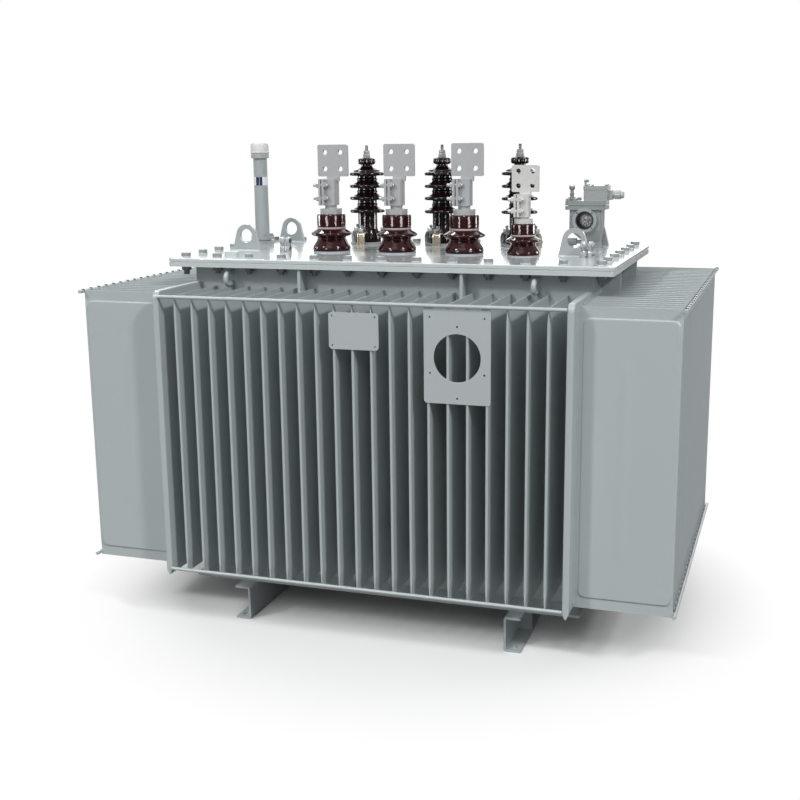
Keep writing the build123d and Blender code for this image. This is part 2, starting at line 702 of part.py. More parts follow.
relay_top = RELAY_FLANGE_Z + RELAY_FLANGE_T
box_z = relay_top + 2 + RELAY_COVER_T
relay = slab(RELAY_W, RELAY_D, 8, 0, RELAY_BODY_Z, RELAY_FLANGE_Z - RELAY_BODY_Z)
relay += loft([
    Plane(origin=(RELAY_FOOT_X, 0, RELAY_FOOT_H)) * RectangleRounded(
        RELAY_FOOT_W, RELAY_FOOT_W, 8
    ),
    Plane(origin=(0, 0, RELAY_BODY_Z)) * RectangleRounded(RELAY_W, RELAY_D, 8),
])
relay += slab(RELAY_FOOT_W, RELAY_D - 20, 4, RELAY_FOOT_X, 0, RELAY_FOOT_H)
relay += slab(RELAY_FLANGE_W, RELAY_FLANGE_D, 14, 0, RELAY_FLANGE_Z, RELAY_FLANGE_T)
relay += slab(RELAY_W, RELAY_D, 8, 0, relay_top, 2)
relay += slab(RELAY_FLANGE_W, RELAY_FLANGE_D, 14, 0, relay_top + 2, RELAY_COVER_T)
window_plane = Plane(origin=(0, -RELAY_D / 2, RELAY_WINDOW_Z), z_dir=(0, -1, 0))
relay += extrude(window_plane * Circle(RELAY_WINDOW_R), 9)
relay -= extrude(window_plane.offset(3) * Circle(RELAY_GLASS_R), 20)
drain = Plane(origin=(RELAY_FOOT_X - RELAY_FOOT_W / 2, 0, RELAY_FOOT_H), z_dir=(-1, 0, 0))
relay += extrude(drain.offset(-10) * Circle(8), 50)
relay += extrude(drain.offset(34) * Circle(14), 36)
save(local(relay), "relay_body", PAINT)
glass = extrude(window_plane.offset(3 + SEAT) * Circle(RELAY_GLASS_R - SEAT), 3)
save(local(glass), "relay_window", (0.3, 0.3, 0.3))
box_x = RELAY_FLANGE_W / 2 + 4 - RELAY_BOX_W / 2
terminal_box = slab(RELAY_BOX_W, RELAY_BOX_D, 4, box_x, box_z, RELAY_BOX_H)
terminal_box += slab(RELAY_BOX_W + 3, RELAY_BOX_D + 3, 5, box_x, box_z + RELAY_BOX_H, RELAY_LID_H)
gland = Plane(origin=(box_x + RELAY_BOX_W / 2, 0, box_z + 20), z_dir=(1, 0, 0))
terminal_box += extrude(gland * RectangleRounded(36, 40, 3), 16)
terminal_box += extrude(gland.offset(16) * Circle(12), 8)
terminal_box += extrude(gland.offset(24) * RegularPolygon(14, 6, major_radius=False), 20)
terminal_box += extrude(gland.offset(44) * Circle(12), 12)
save(local(terminal_box), "relay_terminal_box", PAINT)


def vent():
    cap_z = VENT_H - VENT_CAP_R
    outline = [(0, 0), (VENT_R, 0), (VENT_R, VENT_R), (VENT_NECK_R, VENT_R)]
    outline += [(VENT_NECK_R, cap_z), (VENT_CAP_R, cap_z), (VENT_CAP_R, VENT_H), (0, VENT_H)]
    turned = revolve(Plane.XZ * make_face(Polyline(*outline, close=True)), Axis.Z)
    return Pos(VENT_R + 6 - RELAY_FLANGE_W / 2, -RELAY_D / 5, box_z) * turned


save(local(vent()), "relay_vent_valve", BRASS)


# Thermometer pockets: a stem between two hexagons
def pocket(x):
    body = upright(POCKET_R, POCKET_H) + hexagon(POCKET_HEX_R, 8)
    body += Pos(0, 0, POCKET_H - 12) * hexagon(POCKET_HEX_R, 12)
    return Pos(x, POCKET_Y, COVER_TOP) * body


pockets = []
for x in (POCKET_LEFT_X, POCKET_RIGHT_X):
    pockets += [pocket(x - POCKET_PITCH / 2), pocket(x + POCKET_PITCH / 2)]
save(group(pockets), "thermometer_pockets", ALUMINIUM)

earth_pad = block(
    EARTH_PAD_X - EARTH_PAD_W / 2, EARTH_PAD_X + EARTH_PAD_W / 2,
    EARTH_PAD_Y - EARTH_PAD_D / 2, EARTH_PAD_Y + EARTH_PAD_D / 2, COVER_TOP, COVER_TOP + EARTH_PAD_H
)
save(chamfer(earth_pad.edges().group_by(Axis.Z)[-1], 3), "earthing_pad", PAINT)


# Rating plate carrier and gauge plate on the front
def front_plate(x0, x1, z0, z1, corner):
    middle = ((x0 + x1) / 2, -FRONT_FIN_EDGE - SEAT, (z0 + z1) / 2)
    face = Plane(origin=middle, x_dir=(1, 0, 0), z_dir=(0, -1, 0))
    return extrude(face * RectangleRounded(x1 - x0, z1 - z0, corner), PLATE_T)


def drill(x, z, r):
    return Pos(x, -FRONT_FIN_EDGE, z) * Rot(90, 0, 0) * Cylinder(r, 4 * PLATE_T)


rating = front_plate(RATING_X0, RATING_X1, RATING_Z0, RATING_Z1, RATING_HOLE_INSET)
for x in (RATING_X0 + RATING_HOLE_INSET, RATING_X1 - RATING_HOLE_INSET):
    for z in (RATING_Z0 + RATING_HOLE_INSET, RATING_Z1 - RATING_HOLE_INSET):
        rating -= drill(x, z, PLATE_HOLE_R)
save(rating, "rating_plate", ALUMINIUM)

# The gauge plate hangs from the bar by two tabs at its upper corners
tab_top = BAR_TOP_Z - BAR_R - SEAT
gauge = front_plate(GAUGE_X0, GAUGE_X1, GAUGE_Z0, GAUGE_Z1, 10)
for tab_x in (GAUGE_X0, GAUGE_X1 - TAB_W):
    gauge += front_plate(tab_x, tab_x + TAB_W, GAUGE_Z1 - 2 * TAB_W, tab_top, 2)
gauge -= drill(GAUGE_HOLE_X, GAUGE_HOLE_Z, GAUGE_HOLE_R)
low_z = GAUGE_HOLE_Z - GAUGE_HOLE_LOW
high_z = GAUGE_Z1 - GAUGE_HOLE_HIGH
small_holes = [(GAUGE_HOLE_X, GAUGE_Z1 - GAUGE_HOLE_MID), (GAUGE_HOLE_X, GAUGE_Z0 + GAUGE_HOLE_FOOT)]
for x in (GAUGE_X0 + GAUGE_HOLE_SIDE, GAUGE_X1 - GAUGE_HOLE_SIDE):
    small_holes += [(x, low_z), (x, high_z)]
for x, z in small_holes:
    gauge -= drill(x, z, PLATE_HOLE_R)
save(gauge, "gauge_plate", PAINT)
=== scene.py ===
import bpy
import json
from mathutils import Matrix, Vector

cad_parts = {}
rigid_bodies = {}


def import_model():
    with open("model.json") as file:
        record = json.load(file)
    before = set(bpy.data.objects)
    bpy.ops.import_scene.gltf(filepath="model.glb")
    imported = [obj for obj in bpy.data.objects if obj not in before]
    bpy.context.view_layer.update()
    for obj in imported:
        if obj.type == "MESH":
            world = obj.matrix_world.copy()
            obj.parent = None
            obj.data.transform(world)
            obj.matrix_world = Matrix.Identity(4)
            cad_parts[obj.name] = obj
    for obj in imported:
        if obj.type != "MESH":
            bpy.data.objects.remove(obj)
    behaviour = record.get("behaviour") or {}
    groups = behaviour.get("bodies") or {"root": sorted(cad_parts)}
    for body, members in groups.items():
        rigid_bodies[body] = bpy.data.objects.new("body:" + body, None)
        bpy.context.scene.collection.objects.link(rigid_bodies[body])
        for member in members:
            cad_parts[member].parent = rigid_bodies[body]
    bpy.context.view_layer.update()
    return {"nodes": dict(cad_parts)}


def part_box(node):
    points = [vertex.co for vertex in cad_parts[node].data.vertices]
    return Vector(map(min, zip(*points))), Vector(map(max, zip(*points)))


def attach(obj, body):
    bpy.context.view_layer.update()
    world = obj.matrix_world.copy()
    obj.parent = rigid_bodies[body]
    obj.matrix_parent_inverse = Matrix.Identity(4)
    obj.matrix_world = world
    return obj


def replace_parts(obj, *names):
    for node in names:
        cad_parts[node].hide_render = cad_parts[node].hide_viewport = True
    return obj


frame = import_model()

"""Looks of an oil-filled power transformer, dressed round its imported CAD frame."""

import json
import logging
import math
from dataclasses import dataclass, replace
from enum import Enum

import bpy
import numpy as np
from mathutils import Matrix, Vector

LOG = logging.getLogger("transformer")
PHOTO_PIXELS = 800
SENSOR_MM = 36.0
MM = 0.001
WELD_DECIMALS = 7

Point = tuple[float, float, float]
Profile = list[tuple[float, float]]


class Slot(Enum):
    """Material slots of the record that new pieces take their finish from."""

    PAINT = "tank_paint"
    RUBBER = "gasket_rubber"
    RED_PORCELAIN = "red_brown_porcelain"
    DARK_PORCELAIN = "dark_brown_porcelain"
    ALUMINIUM = "bare_aluminium"
    BRASS = "terminal_brass"
    GLASS = "sight_glass"
    PLASTIC = "white_plastic"
    PLATE = "plate_metal"


# Surfaces
@dataclass
class Shell:
    """A mesh as whole arrays.

    Attributes:
        points: Corner positions, one row of x, y, z each.
        faces: Quads as rows of four indices; a triangle repeats its last index.
    """

    points: np.ndarray
    faces: np.ndarray

    def moved(self, offset: Point) -> "Shell":
        """Returns the shell shifted by offset."""
        return Shell(self.points + np.asarray(offset), self.faces)

    def turned(self, matrix: np.ndarray) -> "Shell":
        """Returns the shell with each point multiplied by a 3 by 3 rotation."""
        return Shell(self.points @ np.asarray(matrix).T, self.faces)

    def copies(self, offsets: np.ndarray, turns: np.ndarray | None = None) -> "Shell":
        """Repeats the shell at many places in one array operation.

        Args:
            offsets: Rows of x, y, z, one for each copy.
            turns: Angles about the vertical, one for each copy, in radians.

        Returns:
            One shell that holds all the copies.
        """
        offsets = np.asarray(offsets, float)
        count = len(offsets)
        turns = np.zeros(count) if turns is None else np.asarray(turns, float)
        c, s = np.cos(turns)[:, None], np.sin(turns)[:, None]
        x, y, z = self.points.T
        heights = np.broadcast_to(z, (count, len(z)))
        placed = np.stack([c * x - s * y, s * x + c * y, heights], -1)
        points = (placed + offsets[:, None, :]).reshape(-1, 3)
        steps = np.arange(count)[:, None, None] * len(self.points)
        return Shell(points, (self.faces[None] + steps).reshape(-1, 4))

    def build(self, name: str, finish: "Finish", smooth_deg: float = 35.0) -> bpy.types.Object:
        """Puts the shell into Blender as one piece, with points at the same place joined.

        Args:
            name: Name of the new object.
            finish: Finish that the piece wears.
            smooth_deg: Edges that turn by less than this are shaded smooth.

        Returns:
            The new object, at the origin.
        """
        keys = np.round(self.points, WELD_DECIMALS)
        points, index = np.unique(keys, axis=0, return_inverse=True)
        faces = index.reshape(-1)[self.faces]
        kept = faces != np.roll(faces, -1, axis=1)
        whole = kept.all(1)
        three = kept.sum(1) == 3
        triangles = faces[three][kept[three]].reshape(-1, 3)
        mesh = bpy.data.meshes.new(name)
        mesh.from_pydata(points.tolist(), [], faces[whole].tolist() + triangles.tolist())
        mesh.shade_smooth()
        mesh.set_sharp_from_angle(angle=math.radians(smooth_deg))
        mesh.materials.append(finish.material())
        piece = bpy.data.objects.new(name, mesh)
        bpy.context.scene.collection.objects.link(piece)
        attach(piece, "root")
        LOG.info("%s: %d faces", name, len(mesh.polygons))
        return piece


def joined(*shells: Shell) -> Shell:
    """Joins shells into one.

    Args:
        *shells: The shells.

    Returns:
        One shell that holds the points and faces of all the given ones.
    """
    starts = np.cumsum([0] + [len(s.points) for s in shells[:-1]])
    faces = [s.faces + start for s, start in zip(shells, starts)]
    return Shell(np.concatenate([s.points for s in shells]), np.concatenate(faces))


def grid_faces(rows: int, columns: int, wrap: bool) -> np.ndarray:
    """Quads between neighbours of a grid of points.

    Args:
        rows: Number of rows, along the profile.
        columns: Number of columns, round the axis.
        wrap: Whether the last column joins the first one.

    Returns:
        Rows of four indices, turned so that they face outwards on a turned shape.
    """
    row = np.arange(rows - 1)[:, None] * columns
    column = np.arange(columns if wrap else columns - 1)[None]
    beside = (column + 1) % columns
    quads = [row + column, row + beside, row + columns + beside, row + columns + column]
    return np.stack(np.broadcast_arrays(*quads), -1).reshape(-1, 4)


def round_angles(segments: int) -> np.ndarray:
    """Returns the angle of each step round a circle, in radians."""
    return np.arange(segments) * 2 * math.pi / segments


def scaled(profile: Profile, scale: float = MM) -> Profile:
    """Returns the profile times a scale, by default from millimetres to metres."""
    return [(r * scale, z * scale) for r, z in profile]


def spots_at(plan: np.ndarray, height: float) -> np.ndarray:
    """Returns rows of x, y, z for places in plan, all at one height."""
    return np.column_stack([plan, np.full(len(plan), height)])


def lathe(profile: Profile, segments: int, lobes: np.ndarray | None = None) -> Shell:
    """Carries a profile round the vertical axis.

    The point at row i and angle t is (r_i f_ij cos t, r_i f_ij sin t, z_i), where f_ij is 1 or
    the lobe factor, which makes flutes, scallops or the flats of a nut.

    Args:
        profile: Radius and height pairs, from the foot up along the outside.
        segments: Number of steps round the axis.
        lobes: Factors on the radius, one row for each profile point, one column for each step.

    Returns:
        The turned shell.
    """
    outline = np.asarray(profile, float)
    angle = round_angles(segments)
    factor = np.ones((len(outline), segments)) if lobes is None else lobes
    radius = outline[:, :1] * factor
    height = np.broadcast_to(outline[:, 1:], radius.shape)
    points = np.stack([radius * np.cos(angle), radius * np.sin(angle), height], -1)
    return Shell(points.reshape(-1, 3), grid_faces(len(outline), segments, True))


def rounded(profile: Profile, steps: int = 4) -> Profile:
    """Runs a smooth curve through profile points, as a Catmull-Rom spline.

    Between points b and c with neighbours a and d, the place at share t is half of
    2b + (c - a)t + (2a - 5b + 4c - d)t^2 + (3b - a - 3c + d)t^3.

    Args:
        profile: Radius and height pairs.
        steps: Number of steps between two given points.

    Returns:
        The denser profile, which passes through each given point.
    """
    given = np.asarray(profile, float)
    padded = np.concatenate([given[:1], given, given[-1:]])
    a, b, c, d = padded[:-3, None], padded[1:-2, None], padded[2:-1, None], padded[3:, None]
    t = (np.arange(steps) / steps)[None, :, None]
    curve = 2 * b + (c - a) * t + (2 * a - 5 * b + 4 * c - d) * t**2
    curve = curve + (3 * b - a - 3 * c + d) * t**3
    dense = np.concatenate([(curve / 2).reshape(-1, 2), given[-1:]])
    dense[:, 0] = np.maximum(dense[:, 0], 0)
    return [tuple(p) for p in dense]


def hexagon(
    apothem: float, low: float, high: float, bore: float = 0.0, segments: int = 24
) -> Shell:
    """Head or nut with six flats and chamfered corners.

    The radius at each step is the apothem over the cosine of the angle to the nearest flat. At
    the top and bottom rims it is held to a circle, which leaves the curved chamfers of a nut.

    Args:
        apothem: Half of the width across flats.
        low: Height of the underside.
        high: Height of the top.
        bore: Radius of the hole, or 0 for a closed head.
        segments: Steps round the axis, a multiple of 6.

    Returns:
        The shell of the head.
    """
    chamfer, rim, crown = 0.12 * apothem, 1.03, 0.97
    half_flat = math.pi / 6
    factor = 1 / np.cos((round_angles(segments) + half_flat) % (2 * half_flat) - half_flat)
    held, plain = np.minimum(factor, rim), np.ones(segments)
    rows = [(bore, low), (apothem, low), (apothem, low + chamfer / 2), (apothem, high - chamfer)]
    rows += [(apothem * crown, high), (bore, high)]
    lobes = [plain, held, factor, factor, held, plain]
    if bore:
        rows.append((bore, low))
        lobes.append(plain)
    return lathe(rows, segments, np.stack(lobes))


def disc(radius: float, low: float, high: float, edge: float, segments: int = 32) -> Shell:
    """Flat round piece with a chamfered rim, such as a washer or a ring."""
    rows = [(0, low), (radius - edge, low), (radius, low + edge), (radius, high - edge)]
    return lathe(rows + [(radius - edge, high), (0, high)], segments)


def washered_head(washer: float, apothem: float, height: float) -> Shell:
    """Small bolt head or nut on its washer, with its foot at height 0.

    Args:
        washer: Radius of the washer.
        apothem: Half of the head's width across flats.
        height: Height of the head's top.

    Returns:
        The shell of both.
    """
    thick = 0.0015
    flat = disc(washer, 0.0, thick, edge=0.0004, segments=24)
    return joined(flat, hexagon(apothem, thick, height))


def slab(low: Point, high: Point, edge: float, steps: int = 3) -> Shell:
    """Box with evenly rounded edges.

    Directions of a latitude and longitude grid give a sphere of radius edge; each of its eight
    parts is pushed out by the half sizes of the inner box, with the sign of its direction.

    Args:
        low: Lowest corner.
        high: Highest corner.
        edge: Radius of the rounded edges.
        steps: Steps in a quarter turn.

    Returns:
        The shell of the box.
    """
    low, high = np.asarray(low, float), np.asarray(high, float)
    quarter = np.linspace(0, math.pi / 2, steps + 1)
    turn = np.concatenate([quarter + k * math.pi / 2 for k in range(4)])
    push_turn = np.repeat(np.arange(4), steps + 1)
    climb = np.concatenate([quarter - math.pi / 2, quarter])
    push_climb = np.repeat([-1.0, 1.0], steps + 1)
    sign_x = np.array([1.0, -1.0, -1.0, 1.0])[push_turn]
    sign_y = np.array([1.0, 1.0, -1.0, -1.0])[push_turn]
    inner = (high - low) / 2 - edge
    cos_climb = np.cos(climb)[:, None]
    x = edge * cos_climb * np.cos(turn) + sign_x * inner[0]
    y = edge * cos_climb * np.sin(turn) + sign_y * inner[1]
    z = (edge * np.sin(climb) + push_climb * inner[2])[:, None] * np.ones(len(turn))
    points = np.stack([x, y, z], -1)
    poles = np.zeros((2, 1, len(turn), 3))
    poles[..., 2] = points[[0, -1], :1, 2][:, None]
    points = np.concatenate([poles[0], points, poles[1]])
    shell = Shell(points.reshape(-1, 3), grid_faces(len(points), len(turn), True))
    return shell.moved(tuple((low + high) / 2))


def tube(path: np.ndarray, radius: float, segments: int = 12) -> Shell:
    """Round bar along a path of points.

    Each ring lies square to the path: its points are the path point plus the radius times
    cos t times one cross direction and sin t times the other one.

    Args:
        path: Rows of x, y, z along the bar.
        radius: Radius of the bar.
        segments: Steps round the bar.

    Returns:
        The closed shell of the bar.
    """
    path = np.asarray(path, float)
    along = np.gradient(path, axis=0)
    along /= np.linalg.norm(along, axis=1, keepdims=True)
    spread = np.ptp(along, axis=0)
    helper = np.eye(3)[int(np.argmin(np.abs(along).max(0) + spread))]
    first = np.cross(along, helper)
    first /= np.linalg.norm(first, axis=1, keepdims=True)
    second = np.cross(along, first)
    angle = round_angles(segments)[None, :, None]
    ring = np.cos(angle) * first[:, None] + np.sin(angle) * second[:, None]
    rings = path[:, None] + radius * ring
    ends = [np.repeat(path[k][None, None], segments, 1) for k in (0, -1)]
    rings = np.concatenate([ends[0], rings, ends[1]])
    return Shell(rings.reshape(-1, 3), grid_faces(len(rings), segments, True))


TURN_TO_FRONT = np.array([[1, 0, 0], [0, 0, -1], [0, 1, 0]], float)
TURN_TO_RIGHT = np.array([[0, 0, 1], [0, 1, 0], [-1, 0, 0]], float)


# Shader groups
COLOUR, VALUE = "NodeSocketColor", "NodeSocketFloat"
Colour = tuple[float, float, float]
Sockets = dict[str, bpy.types.NodeSocket]


class NodeMaker:
    """Adds and joins the nodes of one tree.

    Args:
        tree: The node tree to fill.
    """

    def __init__(self, tree: bpy.types.NodeTree) -> None:
        """Keeps the tree."""
        self.tree = tree

    def add(self, kind: str, inputs: dict | None = None, **settings: object) -> bpy.types.Node:
        """Adds a node.

        Args:
            kind: Blender's name of the node type.
            inputs: Values or source sockets by input name or number.
            **settings: Properties of the node.

        Returns:
            The new node.
        """
        node = self.tree.nodes.new(kind)
        for key, value in settings.items():
            setattr(node, key, value)
        for key, value in (inputs or {}).items():
            if isinstance(value, bpy.types.NodeSocket):
                self.tree.links.new(value, node.inputs[key])
            else:
                node.inputs[key].default_value = value
        return node

    def place(self) -> bpy.types.NodeSocket:
        """Returns the place on the surface, as Object coordinates."""
        return self.add("ShaderNodeTexCoord").outputs["Object"]

    def math(self, operation: str, first: object, second: object = 0.0) -> bpy.types.NodeSocket:
        """Returns the result socket of a Math node on two values or sockets."""
        return self.add("ShaderNodeMath", {0: first, 1: second}, operation=operation).outputs[0]

    def vector(self, operation: str, inputs: dict) -> bpy.types.Node:
        """Returns a Vector Math node."""
        return self.add("ShaderNodeVectorMath", inputs, operation=operation)

    def mix(self, share: object, first: object, second: object) -> bpy.types.NodeSocket:
        """Returns the colour between two colours at a share."""
        inputs = {0: share, 6: first, 7: second}
        return self.add("ShaderNodeMix", inputs, data_type="RGBA").outputs[2]

    def noise(
        self, vector: object, scale: object, detail: float, rough: float = 0.5, warp: float = 0.0
    ) -> bpy.types.NodeSocket:
        """Returns the value of a noise at a scale."""
        inputs = {"Vector": vector, "Scale": scale, "Detail": detail, "Roughness": rough}
        return self.add("ShaderNodeTexNoise", {**inputs, "Distortion": warp}).outputs[0]

    def spread(self, value: object, low: float, high: float) -> bpy.types.NodeSocket:
        """Returns the value stretched so that low becomes 0 and high becomes 1, held there."""
        return self.add("ShaderNodeMapRange", {0: value, 1: low, 2: high}, clamp=True).outputs[0]


def bare_tree(owner: bpy.types.ID) -> NodeMaker:
    """Empties the node tree of a material or world.

    Args:
        owner: The material or world.

    Returns:
        A maker for its nodes.
    """
    owner.use_nodes = True
    owner.node_tree.nodes.clear()
    return NodeMaker(owner.node_tree)


class ShaderGroup:
    """A shader group that is built once and placed in many materials.

    Attributes:
        name: Name of the group.
        inputs: Kind of each input socket, by name.
        outputs: Kind of each output socket, by name.
    """

    name = "group"
    inputs: dict[str, str] = {}
    outputs: dict[str, str] = {}

    def tree(self) -> bpy.types.NodeTree:
        """Returns the group's tree, built on first use."""
        known = bpy.data.node_groups.get(self.name)
        if known:
            return known
        tree = bpy.data.node_groups.new(self.name, "ShaderNodeTree")
        for way, sockets in (("INPUT", self.inputs), ("OUTPUT", self.outputs)):
            for label, kind in sockets.items():
                tree.interface.new_socket(name=label, in_out=way, socket_type=kind)
        maker = NodeMaker(tree)
        given = maker.add("NodeGroupInput").outputs
        target = maker.add("NodeGroupOutput")
        for label, socket in self.fill(maker, given).items():
            tree.links.new(socket, target.inputs[label])
        return tree

    def fill(self, maker: NodeMaker, given: Sockets) -> Sockets:
        """Builds the inside; each kind of group does this in its own way.

        Args:
            maker: Maker of the group's nodes.
            given: Sockets of the group's inputs, by name.

        Returns:
            The sockets that feed the group's outputs, by name.
        """
        raise NotImplementedError

    def place(self, maker: NodeMaker, inputs: dict) -> Sockets:
        """Adds the group to a material with its own values and returns its outputs."""
        return maker.add("ShaderNodeGroup", inputs, node_tree=self.tree()).outputs


class SettledDust(ShaderGroup):
    """Fine dust that lies in soft patches on faces that look up.

    Attributes:
        facing: Upward parts of the normal where dust starts and where it lies fully.
        patches: Values of the noise between which a patch fades in.
        duller: How much rougher full dust makes the surface.
    """

    name = "settled_dust"
    inputs = {
        "Colour": COLOUR, "Dust Colour": COLOUR, "Amount": VALUE, "Patch Scale": VALUE,
        "Roughness": VALUE,
    }
    outputs = {"Colour": COLOUR, "Roughness": VALUE}
    facing = (0.1, 0.95)
    patches = (0.35, 0.7)
    duller = 0.35

    def fill(self, maker: NodeMaker, given: Sockets) -> Sockets:
        """Mixes the dust colour in where the normal points up and a slow noise is high.

        Args:
            maker: Maker of the group's nodes.
            given: Sockets of the group's inputs, by name.

        Returns:
            The sockets that feed the group's outputs, by name.
        """
        normal = maker.add("ShaderNodeNewGeometry").outputs["Normal"]
        up = maker.add("ShaderNodeSeparateXYZ", {0: normal}).outputs["Z"]
        level = maker.spread(up, *self.facing)
        slow = maker.noise(maker.place(), given["Patch Scale"], detail=5.0)
        lying = maker.math("MULTIPLY", level, maker.spread(slow, *self.patches))
        mask = maker.math("MULTIPLY", lying, given["Amount"])
        rough = maker.math("ADD", given["Roughness"], maker.math("MULTIPLY", mask, self.duller))
        colour = maker.mix(mask, given["Colour"], given["Dust Colour"])
        return {"Colour": colour, "Roughness": rough}


class ToneDrift(ShaderGroup):
    """Slow changes of tone and gloss over a surface."""

    name = "tone_drift"
    inputs = {
        "Colour": COLOUR, "Amount": VALUE, "Scale": VALUE, "Roughness": VALUE,
        "Gloss Drift": VALUE,
    }
    outputs = {"Colour": COLOUR, "Roughness": VALUE}

    def fill(self, maker: NodeMaker, given: Sockets) -> Sockets:
        """Scales the colour by one plus the amount times a noise from minus one to one.

        Args:
            maker: Maker of the group's nodes.
            given: Sockets of the group's inputs, by name.

        Returns:
            The sockets that feed the group's outputs, by name.
        """
        slow = maker.noise(maker.place(), given["Scale"], detail=4.0, rough=0.6)
        centred = maker.add(
            "ShaderNodeMath", {0: slow, 1: 2.0, 2: -1.0}, operation="MULTIPLY_ADD"
        ).outputs[0]
        factor = maker.math("ADD", maker.math("MULTIPLY", centred, given["Amount"]), 1.0)
        tinted = maker.vector("SCALE", {0: given["Colour"], "Scale": factor}).outputs[0]
        swing = maker.math("MULTIPLY", centred, given["Gloss Drift"])
        return {"Colour": tinted, "Roughness": maker.math("ADD", swing, given["Roughness"])}


class PaintedEdgeHighlight(ShaderGroup):
    """Mask of edges, where the rounded normal leaves the flat one; finishes paint a highlight
    there.
    """

    name = "painted_edge_highlight"
    inputs = {"Radius": VALUE, "Gain": VALUE}
    outputs = {"Mask": VALUE}

    def fill(self, maker: NodeMaker, given: Sockets) -> Sockets:
        """One minus the dot product of the bevelled and the true normal, times the gain.

        Args:
            maker: Maker of the group's nodes.
            given: Sockets of the group's inputs, by name.

        Returns:
            The sockets that feed the group's outputs, by name.
        """
        bevel = maker.add("ShaderNodeBevel", {"Radius": given["Radius"]}, samples=4)
        normal = maker.add("ShaderNodeNewGeometry").outputs["Normal"]
        dot = maker.vector("DOT_PRODUCT", {0: bevel.outputs[0], 1: normal}).outputs["Value"]
        gained = maker.math("MULTIPLY", maker.math("SUBTRACT", 1.0, dot), given["Gain"])
        return {"Mask": maker.spread(gained, 0.0, 1.0)}


class SurfaceGrain(ShaderGroup):
    """Height of a fine grain: sprayed film, casting skin or glaze ripple."""

    name = "surface_grain"
    inputs = {"Fine Scale": VALUE, "Broad Scale": VALUE, "Broad Share": VALUE}
    outputs = {"Height": VALUE}

    def fill(self, maker: NodeMaker, given: Sockets) -> Sockets:
        """Adds a broad noise, times its share, to a fine one.

        Args:
            maker: Maker of the group's nodes.
            given: Sockets of the group's inputs, by name.

        Returns:
            The sockets that feed the group's outputs, by name.
        """
        where = maker.place()
        fine = maker.noise(where, given["Fine Scale"], detail=2.0)
        broad = maker.noise(where, given["Broad Scale"], detail=3.0)
        share = maker.math("MULTIPLY", broad, given["Broad Share"])
        return {"Height": maker.math("ADD", fine, share)}


# Finishes
def rgba(colour: Colour) -> tuple[float, float, float, float]:
    """Returns the colour with full alpha."""
    return (*colour, 1.0)


@dataclass(frozen=True)
class Finish:
    """What a surface is made of, how it is worn and the highlight painted on its edges.

    Attributes:
        name: Name of the material.
        slot: Slot of the record that it stands for.
        base: Linear base colour.
        roughness: Mean roughness.
        metallic: Metallic level.
        coat: Weight of the clear top layer.
        coat_roughness: Roughness of that layer.
        drift: Share by which the tone swings.
        drift_scale: Scale of that swing.
        gloss_drift: Swing of the roughness.
        specular: Level of the plain reflection, 0.5 for common paint.
        grain: Height of the grain, in metres.
        grain_scale: Scale of the fine grain.
        broad_scale: Scale of the broad grain.
        broad_share: Height of the broad grain against the fine one.
        dust: Share of dust on faces that look up.
        dust_colour: Colour of the dust.
        dust_scale: Scale of the patches that it lies in.
        edge: Colour of the painted highlight along edges, or None.
        edge_radius: Width of those edges, in metres.
        edge_gain: How soon an edge shows.
    """

    name: str
    slot: Slot
    base: Colour
    roughness: float
    metallic: float = 0.0
    coat: float = 0.0
    coat_roughness: float = 0.1
    drift: float = 0.03
    drift_scale: float = 3.0
    gloss_drift: float = 0.04
    specular: float = 0.5
    grain: float = 0.00002
    grain_scale: float = 400.0
    broad_scale: float = 40.0
    broad_share: float = 1.0
    dust: float = 0.0
    dust_colour: Colour = (0.62, 0.61, 0.58)
    dust_scale: float = 6.0
    edge: Colour | None = None
    edge_radius: float = 0.0015
    edge_gain: float = 2.0

    def material(self) -> bpy.types.Material:
        """Returns the finish's material, built on first use."""
        known = bpy.data.materials.get(self.name)
        if known:
            return known
        made = bpy.data.materials.new(self.name)
        maker = bare_tree(made)
        shader = maker.add("ShaderNodeBsdfPrincipled", {
            "Metallic": self.metallic, "Specular IOR Level": self.specular,
            "Coat Weight": self.coat, "Coat Roughness": self.coat_roughness,
        })
        maker.add("ShaderNodeOutputMaterial", {"Surface": shader.outputs[0]})
        self.dress(maker, shader)
        return made

    def dress(self, maker: NodeMaker, shader: bpy.types.Node) -> None:
        """Joins the colour, with its tone drift, painted edge highlight and dust, the roughness and
        grain to the shader.

        Args:
            maker: Maker of the material's nodes.
            shader: The Principled BSDF.
        """
        tone = ToneDrift().place(maker, {
            "Colour": rgba(self.base), "Amount": self.drift, "Scale": self.drift_scale,
            "Roughness": self.roughness, "Gloss Drift": self.gloss_drift,
        })
        colour, rough = tone["Colour"], tone["Roughness"]
        if self.edge is not None:
            # Painted highlight: the colour turns towards the lighter edge colour along edges.
            edge_highlight = PaintedEdgeHighlight().place(maker, {"Radius": self.edge_radius, "Gain": self.edge_gain})
            colour = maker.mix(edge_highlight["Mask"], colour, rgba(self.edge))
        if self.dust:
            dust = SettledDust().place(maker, {
                "Colour": colour, "Dust Colour": rgba(self.dust_colour), "Amount": self.dust,
                "Patch Scale": self.dust_scale, "Roughness": rough,
            })
            colour, rough = dust["Colour"], dust["Roughness"]
        grain = SurfaceGrain().place(maker, {
            "Fine Scale": self.grain_scale, "Broad Scale": self.broad_scale,
            "Broad Share": self.broad_share,
        })
        bump = maker.add("ShaderNodeBump", {"Distance": self.grain, "Height": grain["Height"]})
        worn = {
            "Base Color": self.pattern(maker, colour), "Roughness": rough,
            "Normal": bump.outputs[0],
        }
        for label, socket in worn.items():
            maker.tree.links.new(socket, shader.inputs[label])

    def pattern(self, maker: NodeMaker, colour: bpy.types.NodeSocket) -> bpy.types.NodeSocket:
        """Lays a pattern over the colour. The plain finish has none."""
        return colour

    def dress_node(self, node: bpy.types.Object) -> None:
        """Puts the finish on a CAD node in place of its plain colour."""
        node.data.materials.clear()
        node.data.materials.append(self.material())


